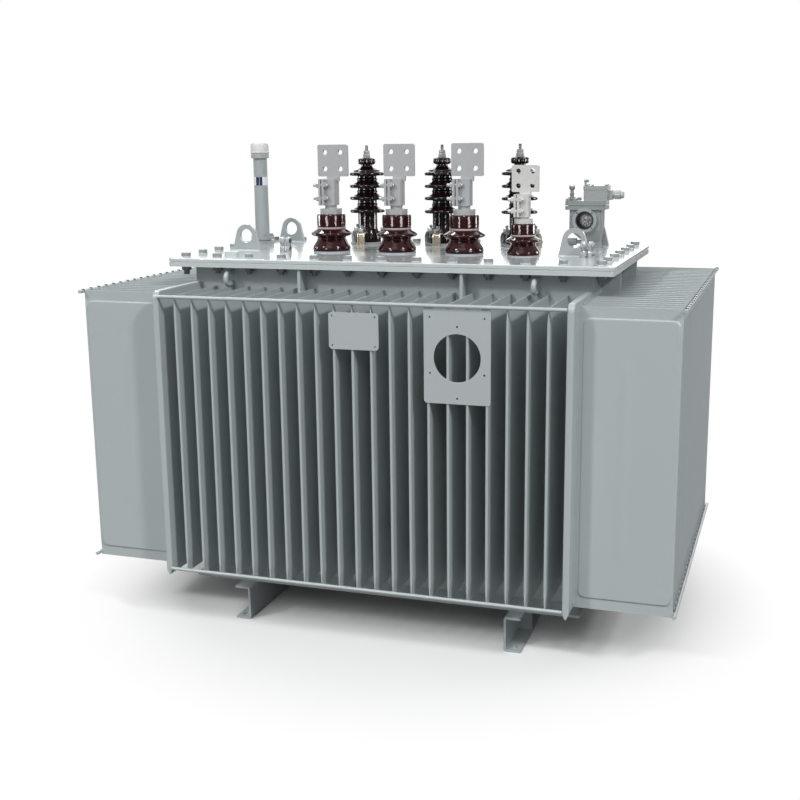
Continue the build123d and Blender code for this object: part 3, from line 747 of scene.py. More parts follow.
@dataclass(frozen=True)
class SightGlassFinish(Finish):
    """Glass with the float chamber behind it: pale swirls, and painted shade towards the left rim.

    Attributes:
        centre: Middle of the glass.
        radius: Its radius.
        pale: Colour of the swirls.
        dark: Colour of the painted shade behind the rim.
        shift: How far right the lit circle lies, as a share of the radius.
        lit: Shares of the radius between which the light fades out.
        swirl_scale: Scale of the swirls.
        swirl: Values of the noise between which a swirl fades in.
    """

    centre: Point = (0.0, 0.0, 0.0)
    radius: float = 0.03
    pale: Colour = (0.46, 0.47, 0.47)
    dark: Colour = (0.015, 0.016, 0.017)
    shift: float = 0.26
    lit: tuple[float, float] = (0.5, 0.9)
    swirl_scale: float = 75.0
    swirl: tuple[float, float] = (0.47, 0.60)

    def pattern(self, maker: NodeMaker, colour: bpy.types.NodeSocket) -> bpy.types.NodeSocket:
        """Lays swirls of a warped noise, and painted shade outside a circle shifted to the right.

        Args:
            maker: Maker of the material's nodes.
            colour: The plain colour.

        Returns:
            The colour with its pattern.
        """
        where = maker.place()
        warped = maker.noise(where, self.swirl_scale, detail=4.0, rough=0.6, warp=2.5)
        colour = maker.mix(maker.spread(warped, *self.swirl), colour, rgba(self.pale))
        x, y, z = self.centre
        middle = (x + self.shift * self.radius, y, z)
        apart = maker.vector("DISTANCE", {0: where, 1: middle}).outputs["Value"]
        # Painted shade: the glass darkens towards the left rim, outside the lit circle.
        rim = maker.spread(apart, *(share * self.radius for share in self.lit))
        return maker.mix(rim, colour, rgba(self.dark))


@dataclass(frozen=True)
class PassivatedFinish(Finish):
    """Zinc under a chromate film, whose colour runs from pale yellow to red and green.

    Attributes:
        red: Colour of the red areas.
        red_scale: Scale of the noise that places them.
        red_from: Values of that noise between which the red fades in.
        green: Colour of the green areas.
        green_scale: Scale of the noise that places them.
        green_from: Values of that noise between which the green fades in.
    """

    red: Colour = (0.42, 0.22, 0.18)
    red_scale: float = 55.0
    red_from: tuple[float, float] = (0.56, 0.75)
    green: Colour = (0.30, 0.38, 0.29)
    green_scale: float = 38.0
    green_from: tuple[float, float] = (0.58, 0.78)

    def pattern(self, maker: NodeMaker, colour: bpy.types.NodeSocket) -> bpy.types.NodeSocket:
        """Mixes red in where one noise is high, and green where another one is.

        Args:
            maker: Maker of the material's nodes.
            colour: The plain colour.

        Returns:
            The colour with its pattern.
        """
        where = maker.place()
        red = maker.spread(maker.noise(where, self.red_scale, detail=3.0), *self.red_from)
        green = maker.spread(maker.noise(where, self.green_scale, detail=3.0), *self.green_from)
        return maker.mix(green, maker.mix(red, colour, rgba(self.red)), rgba(self.green))


# The edge colours of the finishes below are painted highlights along edges.
PAINT = Finish(
    "grey_enamel", Slot.PAINT, (0.44, 0.485, 0.49), 0.42, coat=0.25, coat_roughness=0.25,
    drift=0.035, drift_scale=2.5, gloss_drift=0.05, grain=0.00006, grain_scale=260.0,
    broad_scale=14.0, broad_share=3.0, dust=0.06, edge=(0.62, 0.665, 0.67), edge_gain=1.5,
)
GLOSS_PAINT = replace(
    PAINT, name="glossy_grey_enamel", base=(0.38, 0.415, 0.42), roughness=0.30, coat=0.6,
    coat_roughness=0.06, drift_scale=4.0, gloss_drift=0.04, grain=0.00003, broad_scale=20.0,
    dust=0.04, edge=(0.66, 0.70, 0.71),
)
PLATE_PAINT = replace(
    PAINT, name="plate_enamel", slot=Slot.PLATE, base=(0.45, 0.49, 0.50), roughness=0.36,
    coat=0.3, coat_roughness=0.2, drift=0.025, drift_scale=5.0, grain=0.00004, broad_scale=20.0,
    broad_share=2.0, dust=0.0, edge=(0.68, 0.71, 0.72),
)
RELAY_PAINT = Finish(
    "relay_enamel", Slot.PAINT, (0.26, 0.285, 0.285), 0.34, coat=0.5, drift=0.05,
    drift_scale=14.0, grain=0.00008, grain_scale=320.0, broad_scale=60.0, broad_share=1.5,
    dust=0.04, edge=(0.50, 0.53, 0.54), edge_gain=2.5,
)
BOX_PAINT = replace(
    RELAY_PAINT, name="relay_box_enamel", base=(0.34, 0.365, 0.37), coat=0.4, drift=0.03,
    grain=0.00005, broad_scale=40.0, broad_share=1.0, edge=(0.52, 0.55, 0.56),
)
COVER_PAINT = Finish(
    "cover_enamel", Slot.PAINT, (0.58, 0.63, 0.635), 0.22, coat=0.6, coat_roughness=0.06,
    gloss_drift=0.05, grain=0.000012, grain_scale=220.0, broad_scale=10.0, broad_share=3.0,
    dust=0.05, edge=(0.88, 0.90, 0.90), edge_radius=0.004, edge_gain=2.5,
)
BOLT_PAINT = Finish(
    "painted_bolts", Slot.PAINT, (0.27, 0.30, 0.305), 0.38, coat=0.3, drift=0.10,
    drift_scale=30.0, gloss_drift=0.08, grain=0.00008, grain_scale=500.0, broad_scale=90.0,
    dust=0.10, edge=(0.62, 0.65, 0.66), edge_radius=0.0012,
)
DARK_BOLTS = Finish(
    "shaded_bolt_ends", Slot.PAINT, (0.16, 0.175, 0.18), 0.45, metallic=0.3, drift=0.15,
    drift_scale=40.0, grain=0.00008, grain_scale=500.0, edge=(0.20, 0.21, 0.21),
    edge_radius=0.0012,
)
PALE_WASHER = Finish(
    "pale_washers", Slot.PAINT, (0.62, 0.65, 0.66), 0.3, metallic=0.3, coat=0.2, drift=0.05,
    drift_scale=30.0, gloss_drift=0.05, grain=0.00005, grain_scale=500.0,
)
PAINT_BEAD = Finish(
    "painted_weld", Slot.PAINT, (0.56, 0.60, 0.61), 0.4, coat=0.3, drift=0.06,
    drift_scale=30.0, gloss_drift=0.05, grain=0.00008,
)
# Near-black, dull spots of painted shade for the gaps at the fin ends.
FIN_END_SHADE = Finish(
    "painted_fin_end_shade", Slot.PAINT, (0.02, 0.022, 0.022), 0.8, specular=0.1, drift=0.1,
    drift_scale=40.0, gloss_drift=0.05, grain=0.00008,
)
RED_GLAZE = Finish(
    "red_brown_glaze", Slot.RED_PORCELAIN, (0.028, 0.0035, 0.0045), 0.07, specular=0.2,
    drift=0.22, drift_scale=18.0, gloss_drift=0.02, grain=0.0007, grain_scale=90.0,
    broad_scale=30.0, broad_share=2.0,
)
DARK_GLAZE = replace(
    RED_GLAZE, name="dark_brown_glaze", slot=Slot.DARK_PORCELAIN, base=(0.007, 0.0025, 0.003),
    roughness=0.08, drift=0.25,
)
UNGLAZED = Finish(
    "unglazed_band", Slot.RED_PORCELAIN, (0.32, 0.27, 0.28), 0.6, drift=0.1, drift_scale=40.0,
    gloss_drift=0.05, grain=0.0001, grain_scale=300.0,
)
PALM_ALUMINIUM = Finish(
    "flag_aluminium", Slot.ALUMINIUM, (0.44, 0.45, 0.46), 0.42, metallic=0.35, drift=0.05,
    drift_scale=10.0, gloss_drift=0.06, grain=0.00006, grain_scale=420.0, broad_scale=50.0,
    edge=(0.58, 0.59, 0.59), edge_radius=0.0012,
)
PALE_PALM = replace(
    PALM_ALUMINIUM, name="pale_aluminium", base=(0.64, 0.635, 0.625), metallic=0.3,
    edge=(0.66, 0.66, 0.65),
)
BRASS = Finish(
    "tinned_brass", Slot.BRASS, (0.17, 0.165, 0.15), 0.36, metallic=0.8, drift=0.12,
    drift_scale=30.0, gloss_drift=0.08, grain=0.00005, grain_scale=600.0, broad_scale=90.0,
    edge=(0.42, 0.41, 0.38), edge_radius=0.001,
)
TERMINAL_ZINC = replace(
    BRASS, name="terminal_zinc", base=(0.27, 0.275, 0.275), roughness=0.38,
    edge=(0.55, 0.55, 0.54),
)
BRIGHT_ZINC = replace(
    BRASS, name="bright_zinc", slot=Slot.ALUMINIUM, base=(0.46, 0.48, 0.50), roughness=0.20,
    metallic=0.95, drift=0.20, drift_scale=60.0, edge=(0.80, 0.82, 0.83), edge_radius=0.0012,
)
YELLOW_ZINC = PassivatedFinish(
    "yellow_zinc_plate", Slot.ALUMINIUM, (0.50, 0.46, 0.36), 0.36, metallic=0.75, drift=0.15,
    drift_scale=30.0, gloss_drift=0.08, grain=0.00005, grain_scale=600.0, broad_scale=90.0,
    edge=(0.85, 0.82, 0.68), edge_radius=0.001,
)
RUBBER = Finish(
    "gasket_black_rubber", Slot.RUBBER, (0.03, 0.03, 0.03), 0.75, drift=0.15, drift_scale=20.0,
    gloss_drift=0.05, grain=0.0001, grain_scale=300.0,
)
# The gasket's edge is a pale grey, paler than the tank paint, and shows as a bright line between
# cover and flange.
PALE_GASKET = replace(
    RUBBER, name="pale_gasket_edge", base=(0.80, 0.83, 0.83), roughness=0.35, drift=0.05,
    grain=0.00003,
)
GREY_RING = replace(
    RUBBER, name="sealing_ring_grey", slot=Slot.ALUMINIUM, base=(0.40, 0.43, 0.48),
    roughness=0.45, metallic=0.2, drift=0.08, grain=0.00005,
)
CAP_PLASTIC = Finish(
    "white_cap_plastic", Slot.PLASTIC, (0.74, 0.75, 0.75), 0.35, coat=0.2, drift_scale=12.0,
    grain=0.00004, grain_scale=500.0,
)
GLAND_PLASTIC = replace(
    CAP_PLASTIC, name="pale_gland_plastic", slot=Slot.PAINT, base=(0.50, 0.50, 0.47),
    roughness=0.4, drift=0.05, drift_scale=30.0,
)
BAND_WHITE = Finish(
    "plain_white_band", Slot.PAINT, (0.88, 0.89, 0.90), 0.35, coat=0.3, drift=0.02,
    drift_scale=20.0, grain_scale=500.0,
)
BAND_BLUE = Finish(
    "dark_blue_band", Slot.PAINT, (0.015, 0.02, 0.085), 0.4, drift=0.06, drift_scale=20.0,
    grain=0.00003, grain_scale=500.0,
)
SIGHT_GLASS = SightGlassFinish(
    "relay_sight_lens", Slot.GLASS, (0.10, 0.105, 0.11), 0.06, specular=0.3, drift=0.3,
    drift_scale=60.0, gloss_drift=0.0, grain_scale=100.0,
)


# Sub-assemblies, in metres apart from the profiles and sizes that say millimetres
def cover_top() -> float:
    """Returns the height of the cover plate's upper face."""
    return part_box("cover_plate")[1].z


def centre_of(node: str) -> Point:
    """Returns the middle of a CAD node's box in plan and its lowest height."""
    low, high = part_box(node)
    return (low.x + high.x) / 2, (low.y + high.y) / 2, low.z


def ribs(segments: int, count: int, depth: float) -> np.ndarray:
    """Returns factors on a radius that dip by depth in count grooves round the axis."""
    return 1 - depth * (np.cos(count * round_angles(segments)) < 0)


def ring_places(x: float, y: float, radius: float, angles: np.ndarray) -> np.ndarray:
    """Returns plan places on a circle round x, y at the given angles."""
    return np.column_stack([x + radius * np.cos(angles), y + radius * np.sin(angles)])


@dataclass
class RimBolts:
    """Bolts round the cover, with washers above and nuts and bolt ends below the flange.

    Attributes:
        half_x: Distance of the rows along the short sides from the middle.
        half_y: Distance of the rows along the long sides from the middle.
        along: Bolts on a long side, corners included.
        across: Bolts on a short side, corners included.
        turn: Turn of each head against the one before it, in radians.
        apothem: Half of the width across flats.
        head: Height of a head.
        nut: Height of a nut.
        washer: Radius of a washer.
        washer_thick: Its thickness.
        washer_edge: Chamfer of its rim.
        end: Radius of a bolt's end and its length below the nut.
        corner_end: The same for the four corner bolts.
        end_edge: Chamfer of the bolt ends.
    """

    half_x: float = 0.752
    half_y: float = 0.388
    along: int = 13
    across: int = 7
    turn: float = 2.4
    apothem: float = 0.015
    head: float = 0.0125
    nut: float = 0.016
    washer: float = 0.0175
    washer_thick: float = 0.003
    washer_edge: float = 0.0006
    end: tuple[float, float] = (0.0095, 0.010)
    corner_end: tuple[float, float] = (0.0105, 0.016)
    end_edge: float = 0.0012

    def places(self) -> np.ndarray:
        """Returns the plan places of all the bolts, the four corners first."""
        sides = (-1, 1)
        corners = [(a * self.half_x, b * self.half_y) for a in sides for b in sides]
        xs = np.linspace(-self.half_x, self.half_x, self.along)[1:-1]
        ys = np.linspace(-self.half_y, self.half_y, self.across)[1:-1]
        long_rows = [(x, side * self.half_y) for side in sides for x in xs]
        short_rows = [(side * self.half_x, y) for side in sides for y in ys]
        return np.array(corners + long_rows + short_rows)

    def bolt_end(self, radius: float, length: float) -> Shell:
        """Returns the end of a bolt, which hangs below its nut."""
        return disc(radius, -self.nut - length, -self.nut, self.end_edge, 20)

    def build(self) -> None:
        """Builds heads, washers, nuts and bolt ends."""
        spots = self.places()
        turns = np.arange(len(spots)) * self.turn
        above = spots_at(spots, cover_top())
        washer = disc(self.washer, 0.0, self.washer_thick, self.washer_edge)
        washer.copies(above).build("rim_washers", PALE_WASHER)
        head = hexagon(self.apothem, self.washer_thick, self.washer_thick + self.head)
        head.copies(above, turns).build("rim_bolt_heads", BOLT_PAINT)
        below = spots_at(spots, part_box("tank_flange")[0].z)
        nut = hexagon(self.apothem, -self.nut, 0.0)
        nut.copies(below, turns).build("rim_nuts", DARK_BOLTS)
        corner_ends = self.bolt_end(*self.corner_end).copies(below[:4])
        ends = joined(corner_ends, self.bolt_end(*self.end).copies(below[4:]))
        ends.build("rim_bolt_ends", DARK_BOLTS)


@dataclass
class LowBushing:
    """Low-voltage bushing: flared skirt, one thick shed, an unglazed groove and a round cap.

    Attributes:
        node: CAD node that the porcelain stands for.
        full_height: Height of that node at full scale.
        segments: Steps round the axis.
        skirt: Profile of the foot and skirt, in millimetres.
        shed: Profile of the shed, in millimetres.
        groove: Profile of the groove above it, in millimetres.
        band: Profile of the unglazed band in the groove, in millimetres.
        cap: Profile of the round cap, in millimetres.
    """

    node: str
    full_height: float = 0.135
    segments: int = 72
    skirt: tuple = (
        (0.0, 5), (64, 5), (68, 6), (70, 9), (70.6, 13), (70, 18), (67, 25), (61, 34), (55.5, 43),
        (52, 50),
    )
    shed: tuple = (
        (52, 50), (54, 54), (62, 58), (70, 61), (74, 64.5), (74.8, 68), (73, 71.5), (66, 76),
        (58, 81), (52.5, 84.5), (50.6, 87),
    )
    groove: tuple = ((50.4, 87), (49.6, 87.6), (49.6, 91.6), (50.4, 92.2))
    band: tuple = (
        (49.0, 85.4), (52.6, 85.4), (53.2, 87.0), (53.2, 91.6), (52.6, 92.6), (49.0, 92.6),
    )
    cap: tuple = (
        (50.6, 92.2), (52.6, 97), (52.9, 100), (52.9, 132), (52.4, 136), (50, 139), (45, 140),
        (0, 140),
    )

    def build(self) -> None:
        """Builds the glazed porcelain and the bare band, at the scale of the node."""
        low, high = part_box(self.node)
        scale = (high.z - low.z) / self.full_height * MM
        x, y, _ = centre_of(self.node)
        foot = (x, y, high.z - self.cap[-1][1] * scale)

        def plain(points: tuple) -> Shell:
            """Returns the scaled profile carried round the axis."""
            return lathe(scaled(points, scale), self.segments)

        def smooth(points: tuple) -> Shell:
            """Returns the same with a curve through the points."""
            return plain(rounded(list(points), 3))

        porcelain = joined(
            plain(self.skirt[:2]), smooth(self.skirt[1:]), smooth(self.shed), plain(self.groove),
            smooth(self.cap),
        )
        piece = porcelain.moved(foot).build(self.node + "_porcelain", RED_GLAZE, smooth_deg=40)
        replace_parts(piece, self.node)
        plain(self.band).moved(foot).build(self.node + "_bare_band", UNGLAZED)


@dataclass
class HighBushing:
    """High-voltage bushing: plain body, four sheds with small ribs and a lobed head.

    Attributes:
        node: CAD node that the porcelain stands for.
        shed_heights: Heights of the shed rims above the cover, in millimetres.
        rim: Radius of the rims, in millimetres.
        body: Radius of the body, in millimetres.
        body_foot: Height at which the body leaves the foot, in millimetres.
        segments: Steps round the axis.
        foot: Profile of the foot, in millimetres.
        shed: Profile of a shed; three points from the body and the rest from the rim.
        ribs: Profile of the ribs above a shed.
        cone: Profile of the cone above the last one.
        head: Profile of the head, in millimetres, from the neck to the middle of its top.
        lobes: Number of lobes of the head.
        lobe_depth: Share of the radius that the grooves between lobes take away.
        lobe_power: How flat the lobes are; 1 is a plain wave.
        lobe_run: How far out from the neck the lobes reach their depth, in millimetres.
    """

    node: str
    shed_heights: tuple = (131.0, 182.0, 229.0, 276.5)
    rim: float = 69.5
    body: float = 38.0
    body_foot: float = 64.0
    segments: int = 72
    foot: tuple = (
        (0, 0), (51, 0), (52, 1.5), (52, 42), (50.5, 44), (44.5, 44), (44, 45), (42.5, 50),
        (40, 58),
    )
    shed: tuple = (
        (0, -9), (3, -8), (14, -7.5), (-6, -7), (-2, -5.5), (0, -1), (-1, 3), (-5, 6.5), (-14, 9),
    )
    ribs: tuple = ((52, 12), (44, 16), (40, 20), (39.5, 22), (41, 25), (41, 27.5), (38.5, 31))
    cone: tuple = ((52, 14), (40, 19), (28, 25), (23.5, 28), (22.5, 31), (22, 35.5))
    head: tuple = (
        (22, 312), (28, 312.5), (33, 315.5), (35, 321), (35, 329), (33, 334), (27, 337),
    )
    lobes: int = 7
    lobe_depth: float = 0.16
    lobe_power: float = 0.6
    lobe_run: float = 8.0

    def body_profile(self) -> Profile:
        """Gives the profile from the foot to the neck.

        Each shed repeats the same points about its own height: its underside is measured from
        the body, its tip from the rim. Small ribs follow it, and after the last one the cone.

        Returns:
            Radius and height pairs, in millimetres.
        """
        points = [(self.body, self.body_foot)]
        for height in self.shed_heights:
            points += [(self.body + r, height + z) for r, z in self.shed[:3]]
            points += [(self.rim + r, height + z) for r, z in self.shed[3:]]
            last = height == self.shed_heights[-1]
            points += [(r, height + z) for r, z in (self.cone if last else self.ribs)]
        return list(self.foot) + rounded(points, 3)

    def lobed_head(self) -> Shell:
        """Builds the head.

        The groove factor is one minus the depth times one minus a power of the absolute cosine
        of half the lobe angle. It grows from nothing at the neck to its full depth over the run.

        Returns:
            The shell of the head.
        """
        outline = rounded(list(self.head), 3) + [(0, self.head[-1][1])]
        wave = np.abs(np.cos(self.lobes * round_angles(self.segments) / 2))
        groove = 1 - self.lobe_depth * (1 - wave**self.lobe_power)
        past_neck = np.array(outline)[:, :1] - self.head[0][0]
        factors = 1 + np.clip(past_neck / self.lobe_run, 0, 1) * (groove[None] - 1)
        return lathe(scaled(outline), self.segments, factors)

    def build(self) -> None:
        """Builds the glazed body and the lobed head."""
        body = lathe(scaled(self.body_profile()), self.segments)
        porcelain = joined(body, self.lobed_head()).moved(centre_of(self.node))
        piece = porcelain.build(self.node + "_porcelain", DARK_GLAZE, smooth_deg=40)
        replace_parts(piece, self.node)


@dataclass
class HighTerminals:
    """Stud, nuts and washers on top of each high-voltage bushing.

    Attributes:
        nodes: CAD nodes of the bushings.
        stud: Radius of a stud.
        height: Height of a stud.
        pitch: Distance between two turns of its thread.
        thread: Depth of the thread.
        tip: Chamfer of the stud's tip.
        bore: Radius of the nuts' holes.
        washer: Radius, foot and top of the washer.
        low_nut: Half of the width across flats, foot and top of the lower nut.
        high_nut: The same for the upper nut.
        spring: Radius, foot and top of the ring above it.
        turns: Turn of the nuts on each bushing, in radians.
    """

    nodes: tuple = ("hv_bushing_1", "hv_bushing_2", "hv_bushing_3")
    stud: float = 0.006
    height: float = 0.050
    pitch: float = 0.00175
    thread: float = 0.0006
    tip: float = 0.0015
    bore: float = 0.0062
    washer: Point = (0.0185, 0.0, 0.003)
    low_nut: Point = (0.0130, 0.003, 0.016)
    high_nut: Point = (0.0115, 0.0165, 0.0265)
    spring: Point = (0.0120, 0.0268, 0.0295)
    turns: Point = (0.2, 0.5, 0.9)

    def build(self) -> None:
        """Builds the threaded studs and the nuts, in place of the plain CAD ones."""
        tops = np.array([(*centre_of(n)[:2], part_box(n)[1].z) for n in self.nodes])
        z = np.arange(0, self.height, self.pitch / 2)
        r = self.stud - self.thread * (np.arange(len(z)) % 2)
        rows = [(0.0, 0.0), *zip(r, z), (self.stud - self.tip, self.height), (0.0, self.height)]
        piece = lathe(rows, 16).copies(tops).build("hv_terminal_studs", BRASS)
        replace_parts(piece, "hv_terminals")
        nuts = joined(
            disc(*self.washer, edge=0.0006), hexagon(*self.low_nut, self.bore),
            hexagon(*self.high_nut, self.bore), disc(*self.spring, edge=0.0005),
        )
        nuts.copies(tops, np.array(self.turns)).build("hv_terminal_nuts", TERMINAL_ZINC)


@dataclass
class HighClaws:
    """Pressed claws that hold the high-voltage bushings down, with a stud and a nut in each.

    Attributes:
        nodes: CAD nodes of the bushings.
        claws: Name, direction in degrees and finish of each claw.
        plate: Radius of the ring plate on the cover.
        bore: Radius of its hole.
        thick: Its thickness.
        edge: Chamfer of its rim.
        reach: Distance of the studs from the bushing's axis.
        arm: How far inside the stud the first and the second section of the arm lie.
        clear: How far outside the stud the leg goes down.
        bend: Radius of the bend between arm and leg.
        shoulder: Height of the underside of the claw's arm.
        sheet: Thickness of the claw.
        half_width: Half of the claw's width.
        cheek: How far its two cheeks stand out at the foot.
        cheek_sheet: Thickness of the cheeks.
        cheek_at_bend: Share of that height at the end of the bend.
        stud: Radius of the studs.
        nut: Radius of the washer, half of the nut's width across flats and height of both.
        tip: How far the stud stands out above the nut.
    """

    nodes: tuple = ("hv_bushing_1", "hv_bushing_2", "hv_bushing_3")
    claws: tuple = (
        ("front", 270, YELLOW_ZINC), ("right", 30, YELLOW_ZINC), ("left", 150, BRIGHT_ZINC),
    )
    plate: float = 0.070
    bore: float = 0.0525
    thick: float = 0.008
    edge: float = 0.001
    reach: float = 0.066
    arm: tuple[float, float] = (0.020, 0.005)
    clear: float = 0.008
    bend: float = 0.006
    shoulder: float = 0.0443
    sheet: float = 0.005
    half_width: float = 0.0145
    cheek: float = 0.008
    cheek_sheet: float = 0.003
    cheek_at_bend: float = 0.6
    stud: float = 0.006
    nut: Point = (0.0150, 0.0135, 0.0145)
    tip: float = 0.012

    def claw(self) -> Shell:
        """Builds one claw, which reaches out along x and then down to the cover.

        The inner line runs over the shoulder, through a quarter circle and down the leg. Each
        section across it is a web with two cheeks, whose height goes from nothing on the arm to
        its full size on the leg; the section is repeated at each point, square to the line.

        Returns:
            The closed shell of the claw.
        """
        angle = np.radians(np.linspace(90, 0, 7))
        out, high = self.reach + self.clear, self.shoulder
        quarter = np.column_stack([np.cos(angle), np.sin(angle)])
        arm = np.array([(self.reach - inside, high) for inside in self.arm])
        arc = np.array([out - self.bend, high - self.bend]) + self.bend * quarter
        leg = np.column_stack([np.full(4, out), np.linspace(0.75, 0.0, 4) * high])
        line = np.concatenate([arm, arc, leg])
        facing = np.concatenate([[(0.0, 1.0)] * 2, quarter, [(1.0, 0.0)] * 4])
        rise = np.concatenate([[0, 0], np.linspace(0, self.cheek_at_bend, 7), [1, 1, 1, 1]])
        w, c = self.half_width, self.half_width - self.cheek_sheet
        across = np.array([-w, -w, -c, -c, c, c, w, w, c, -c])
        sheet = np.array([0, 1, 1, 1, 1, 1, 1, 0, 0, 0]) * self.sheet
        cheeks = np.array([0, 1, 1, 0, 0, 1, 1, 0, 0, 0])
        away = sheet[None] + (rise * self.cheek)[:, None] * cheeks[None]
        plan = line[:, None, :] + away[..., None] * facing[:, None, :]
        width = np.broadcast_to(across, away.shape)
        points = np.stack([plan[..., 0], -width, plan[..., 1]], -1)
        walls = grid_faces(len(line), len(across), True)
        cap = np.array([[0, 1, 2, 3], [0, 3, 9, 9], [9, 3, 4, 8], [8, 4, 7, 7], [4, 5, 6, 7]])
        tail = cap + (len(line) - 1) * len(across)
        head = np.array([[3, 2, 1, 0], [9, 3, 0, 0], [8, 4, 3, 9], [7, 4, 8, 8], [7, 6, 5, 4]])
        return Shell(points.reshape(-1, 3), np.concatenate([walls, tail, head]))

    def build(self) -> None:
        """Builds the ring plates, the claws and their studs and nuts."""
        places = np.array([centre_of(n) for n in self.nodes])
        rim, top = self.plate - self.edge, self.thick
        ring = [(self.bore, 0), (rim, 0), (self.plate, self.edge), (self.plate, top - self.edge)]
        ring += [(rim, top), (self.bore, top), (self.bore, 0)]
        piece = lathe(ring, 64).copies(places).build("hv_ring_plates", BOLT_PAINT)
        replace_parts(piece, "hv_clamp_rings")
        seat = self.shoulder + self.sheet
        above = seat + self.nut[2]
        fastener = joined(
            washered_head(*self.nut).moved((0.0, 0.0, seat)),
            disc(self.stud, above, above + self.tip, edge=0.0015, segments=20),
            disc(self.stud, 0.0, seat, edge=0.0005, segments=16),
        )
        nuts = []
        for name, degrees, finish in self.claws:
            turn = math.radians(degrees)
            turns = np.full(len(places), turn)
            self.claw().copies(places, turns).build(f"hv_claws_{name}", finish, smooth_deg=25)
            step = np.array([self.reach * math.cos(turn), self.reach * math.sin(turn), 0.0])
            nuts.append(fastener.copies(places + step, turns))
        joined(*nuts).build("hv_claw_nuts", BRIGHT_ZINC)


@dataclass
class FillerDressing:
    """Filler pipe's flange bolts, ribbed collar, screw cap and plain colour band.

    Attributes:
        pipe: Radius of the pipe.
        overlap: How far the films start inside it.
        flange: Height of the flange's top above the cover.
        bolt_circle: Distance of the flange bolts from the pipe's axis.
        bolt: Radius of the washer, half of the head's width across flats and height of both.
        collar: Profile of the collar, in millimetres, with heights from the cap's foot.
        collar_ribs: Number of ribs round the collar.
        rib_depth: Share of its radius that the grooves between them take away.
        cap_foot: Profile of the cap's lip, in millimetres inside its radius and above its foot.
        cap_top: Profile of its top, in millimetres inside its radius and below its top.
        band_low: Foot of the band above the cover.
        band_high: Its top.
        film: Thickness of the white band.
        patch_film: Height of the dark patches above the pipe.
        patches: First and last angle of each dark patch on the band, in degrees.
    """

    pipe: float = 0.028
    overlap: float = 0.0005
    flange: float = 0.033
    bolt_circle: float = 0.038
    bolt: Point = (0.0085, 0.0065, 0.0075)
    collar: tuple = ((27.5, -19.5), (35.5, -19.5), (36.5, -18.5), (36.5, -1.0), (35.5, 0.0))
    collar_ribs: int = 18
    rib_depth: float = 0.03
    cap_foot: tuple = ((1.0, 0.0), (0.0, 1.0), (0.0, 6.0), (1.2, 7.0))
    cap_top: tuple = ((1.2, 5.0), (2.0, 2.5), (4.5, 0.0))
    band_low: float = 0.235
    band_high: float = 0.268
    film: float = 0.0004
    patch_film: float = 0.0008
    patches: tuple = ((-106.0, -79.0), (-76.0, -53.0))

    def build(self) -> None:
        """Builds the flange bolts, the collar, the cap and the band."""
        x, y, _ = centre_of("filler_pipe")
        top = cover_top()
        angle = np.radians(45 + 90 * np.arange(4))
        spots = spots_at(ring_places(x, y, self.bolt_circle, angle), top + self.flange)
        bolts = washered_head(*self.bolt).copies(spots, angle)
        bolts.build("filler_flange_bolts", BOLT_PAINT)
        low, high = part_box("filler_cap")
        segments = 144
        plain, ribbed = np.ones(segments), ribs(segments, self.collar_ribs, self.rib_depth)
        lobes = np.stack([plain, ribbed, ribbed, ribbed, plain])
        collar = lathe(scaled(self.collar), segments, lobes).moved((x, y, low.z))
        collar.build("filler_collar", GLOSS_PAINT)
        cap = self.cap(high.z - low.z, (high.x - low.x) / 2).moved((x, y, low.z))
        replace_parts(cap.build("filler_screw_cap", CAP_PLASTIC), "filler_cap")
        band = self.sleeve(self.pipe + self.film, (-180.0, 180.0))
        band.moved((x, y, top)).build("filler_band", BAND_WHITE)
        patches = [self.sleeve(self.pipe + self.patch_film, ends) for ends in self.patches]
        joined(*patches).moved((x, y, top)).build("filler_band_patches", BAND_BLUE)

    def cap(self, height: float, radius: float) -> Shell:
        """Builds the screw cap, with its lip and its rounded top.

        Args:
            height: Height of the cap.
            radius: Its greatest radius.

        Returns:
            The closed shell, with its foot at height 0.
        """
        rows = [(0, 0)] + [(radius - r * MM, z * MM) for r, z in self.cap_foot]
        rows += [(radius - r * MM, height - z * MM) for r, z in self.cap_top] + [(0, height)]
        return lathe(rows, 96)

    def sleeve(self, radius: float, ends: tuple[float, float]) -> Shell:
        """Builds a thin closed film round a part of the pipe.

        Each row of the grid goes once round the film's section: foot and top on the outer
        radius, then top and foot just inside the pipe, for each angle between the ends.

        Args:
            radius: Outer radius.
            ends: First and last angle, in degrees.

        Returns:
            The film, which stands at the height of the band.
        """
        turn = np.radians(np.linspace(*ends, 49))
        inner = self.pipe - self.overlap
        r = np.array([inner, radius, radius, inner])
        z = np.array([self.band_low, self.band_low, self.band_high, self.band_high])
        grid = np.stack([
            r * np.cos(turn)[:, None], r * np.sin(turn)[:, None],
            np.broadcast_to(z, (len(turn), 4)),
        ], -1)
        faces = grid_faces(len(turn), 4, True)[:, ::-1]
        if ends[1] - ends[0] < 360:
            last = (len(turn) - 1) * 4
            closing = np.array([[0, 1, 2, 3], [last + 3, last + 2, last + 1, last]])
            faces = np.concatenate([faces, closing])
        return Shell(grid.reshape(-1, 3), faces)


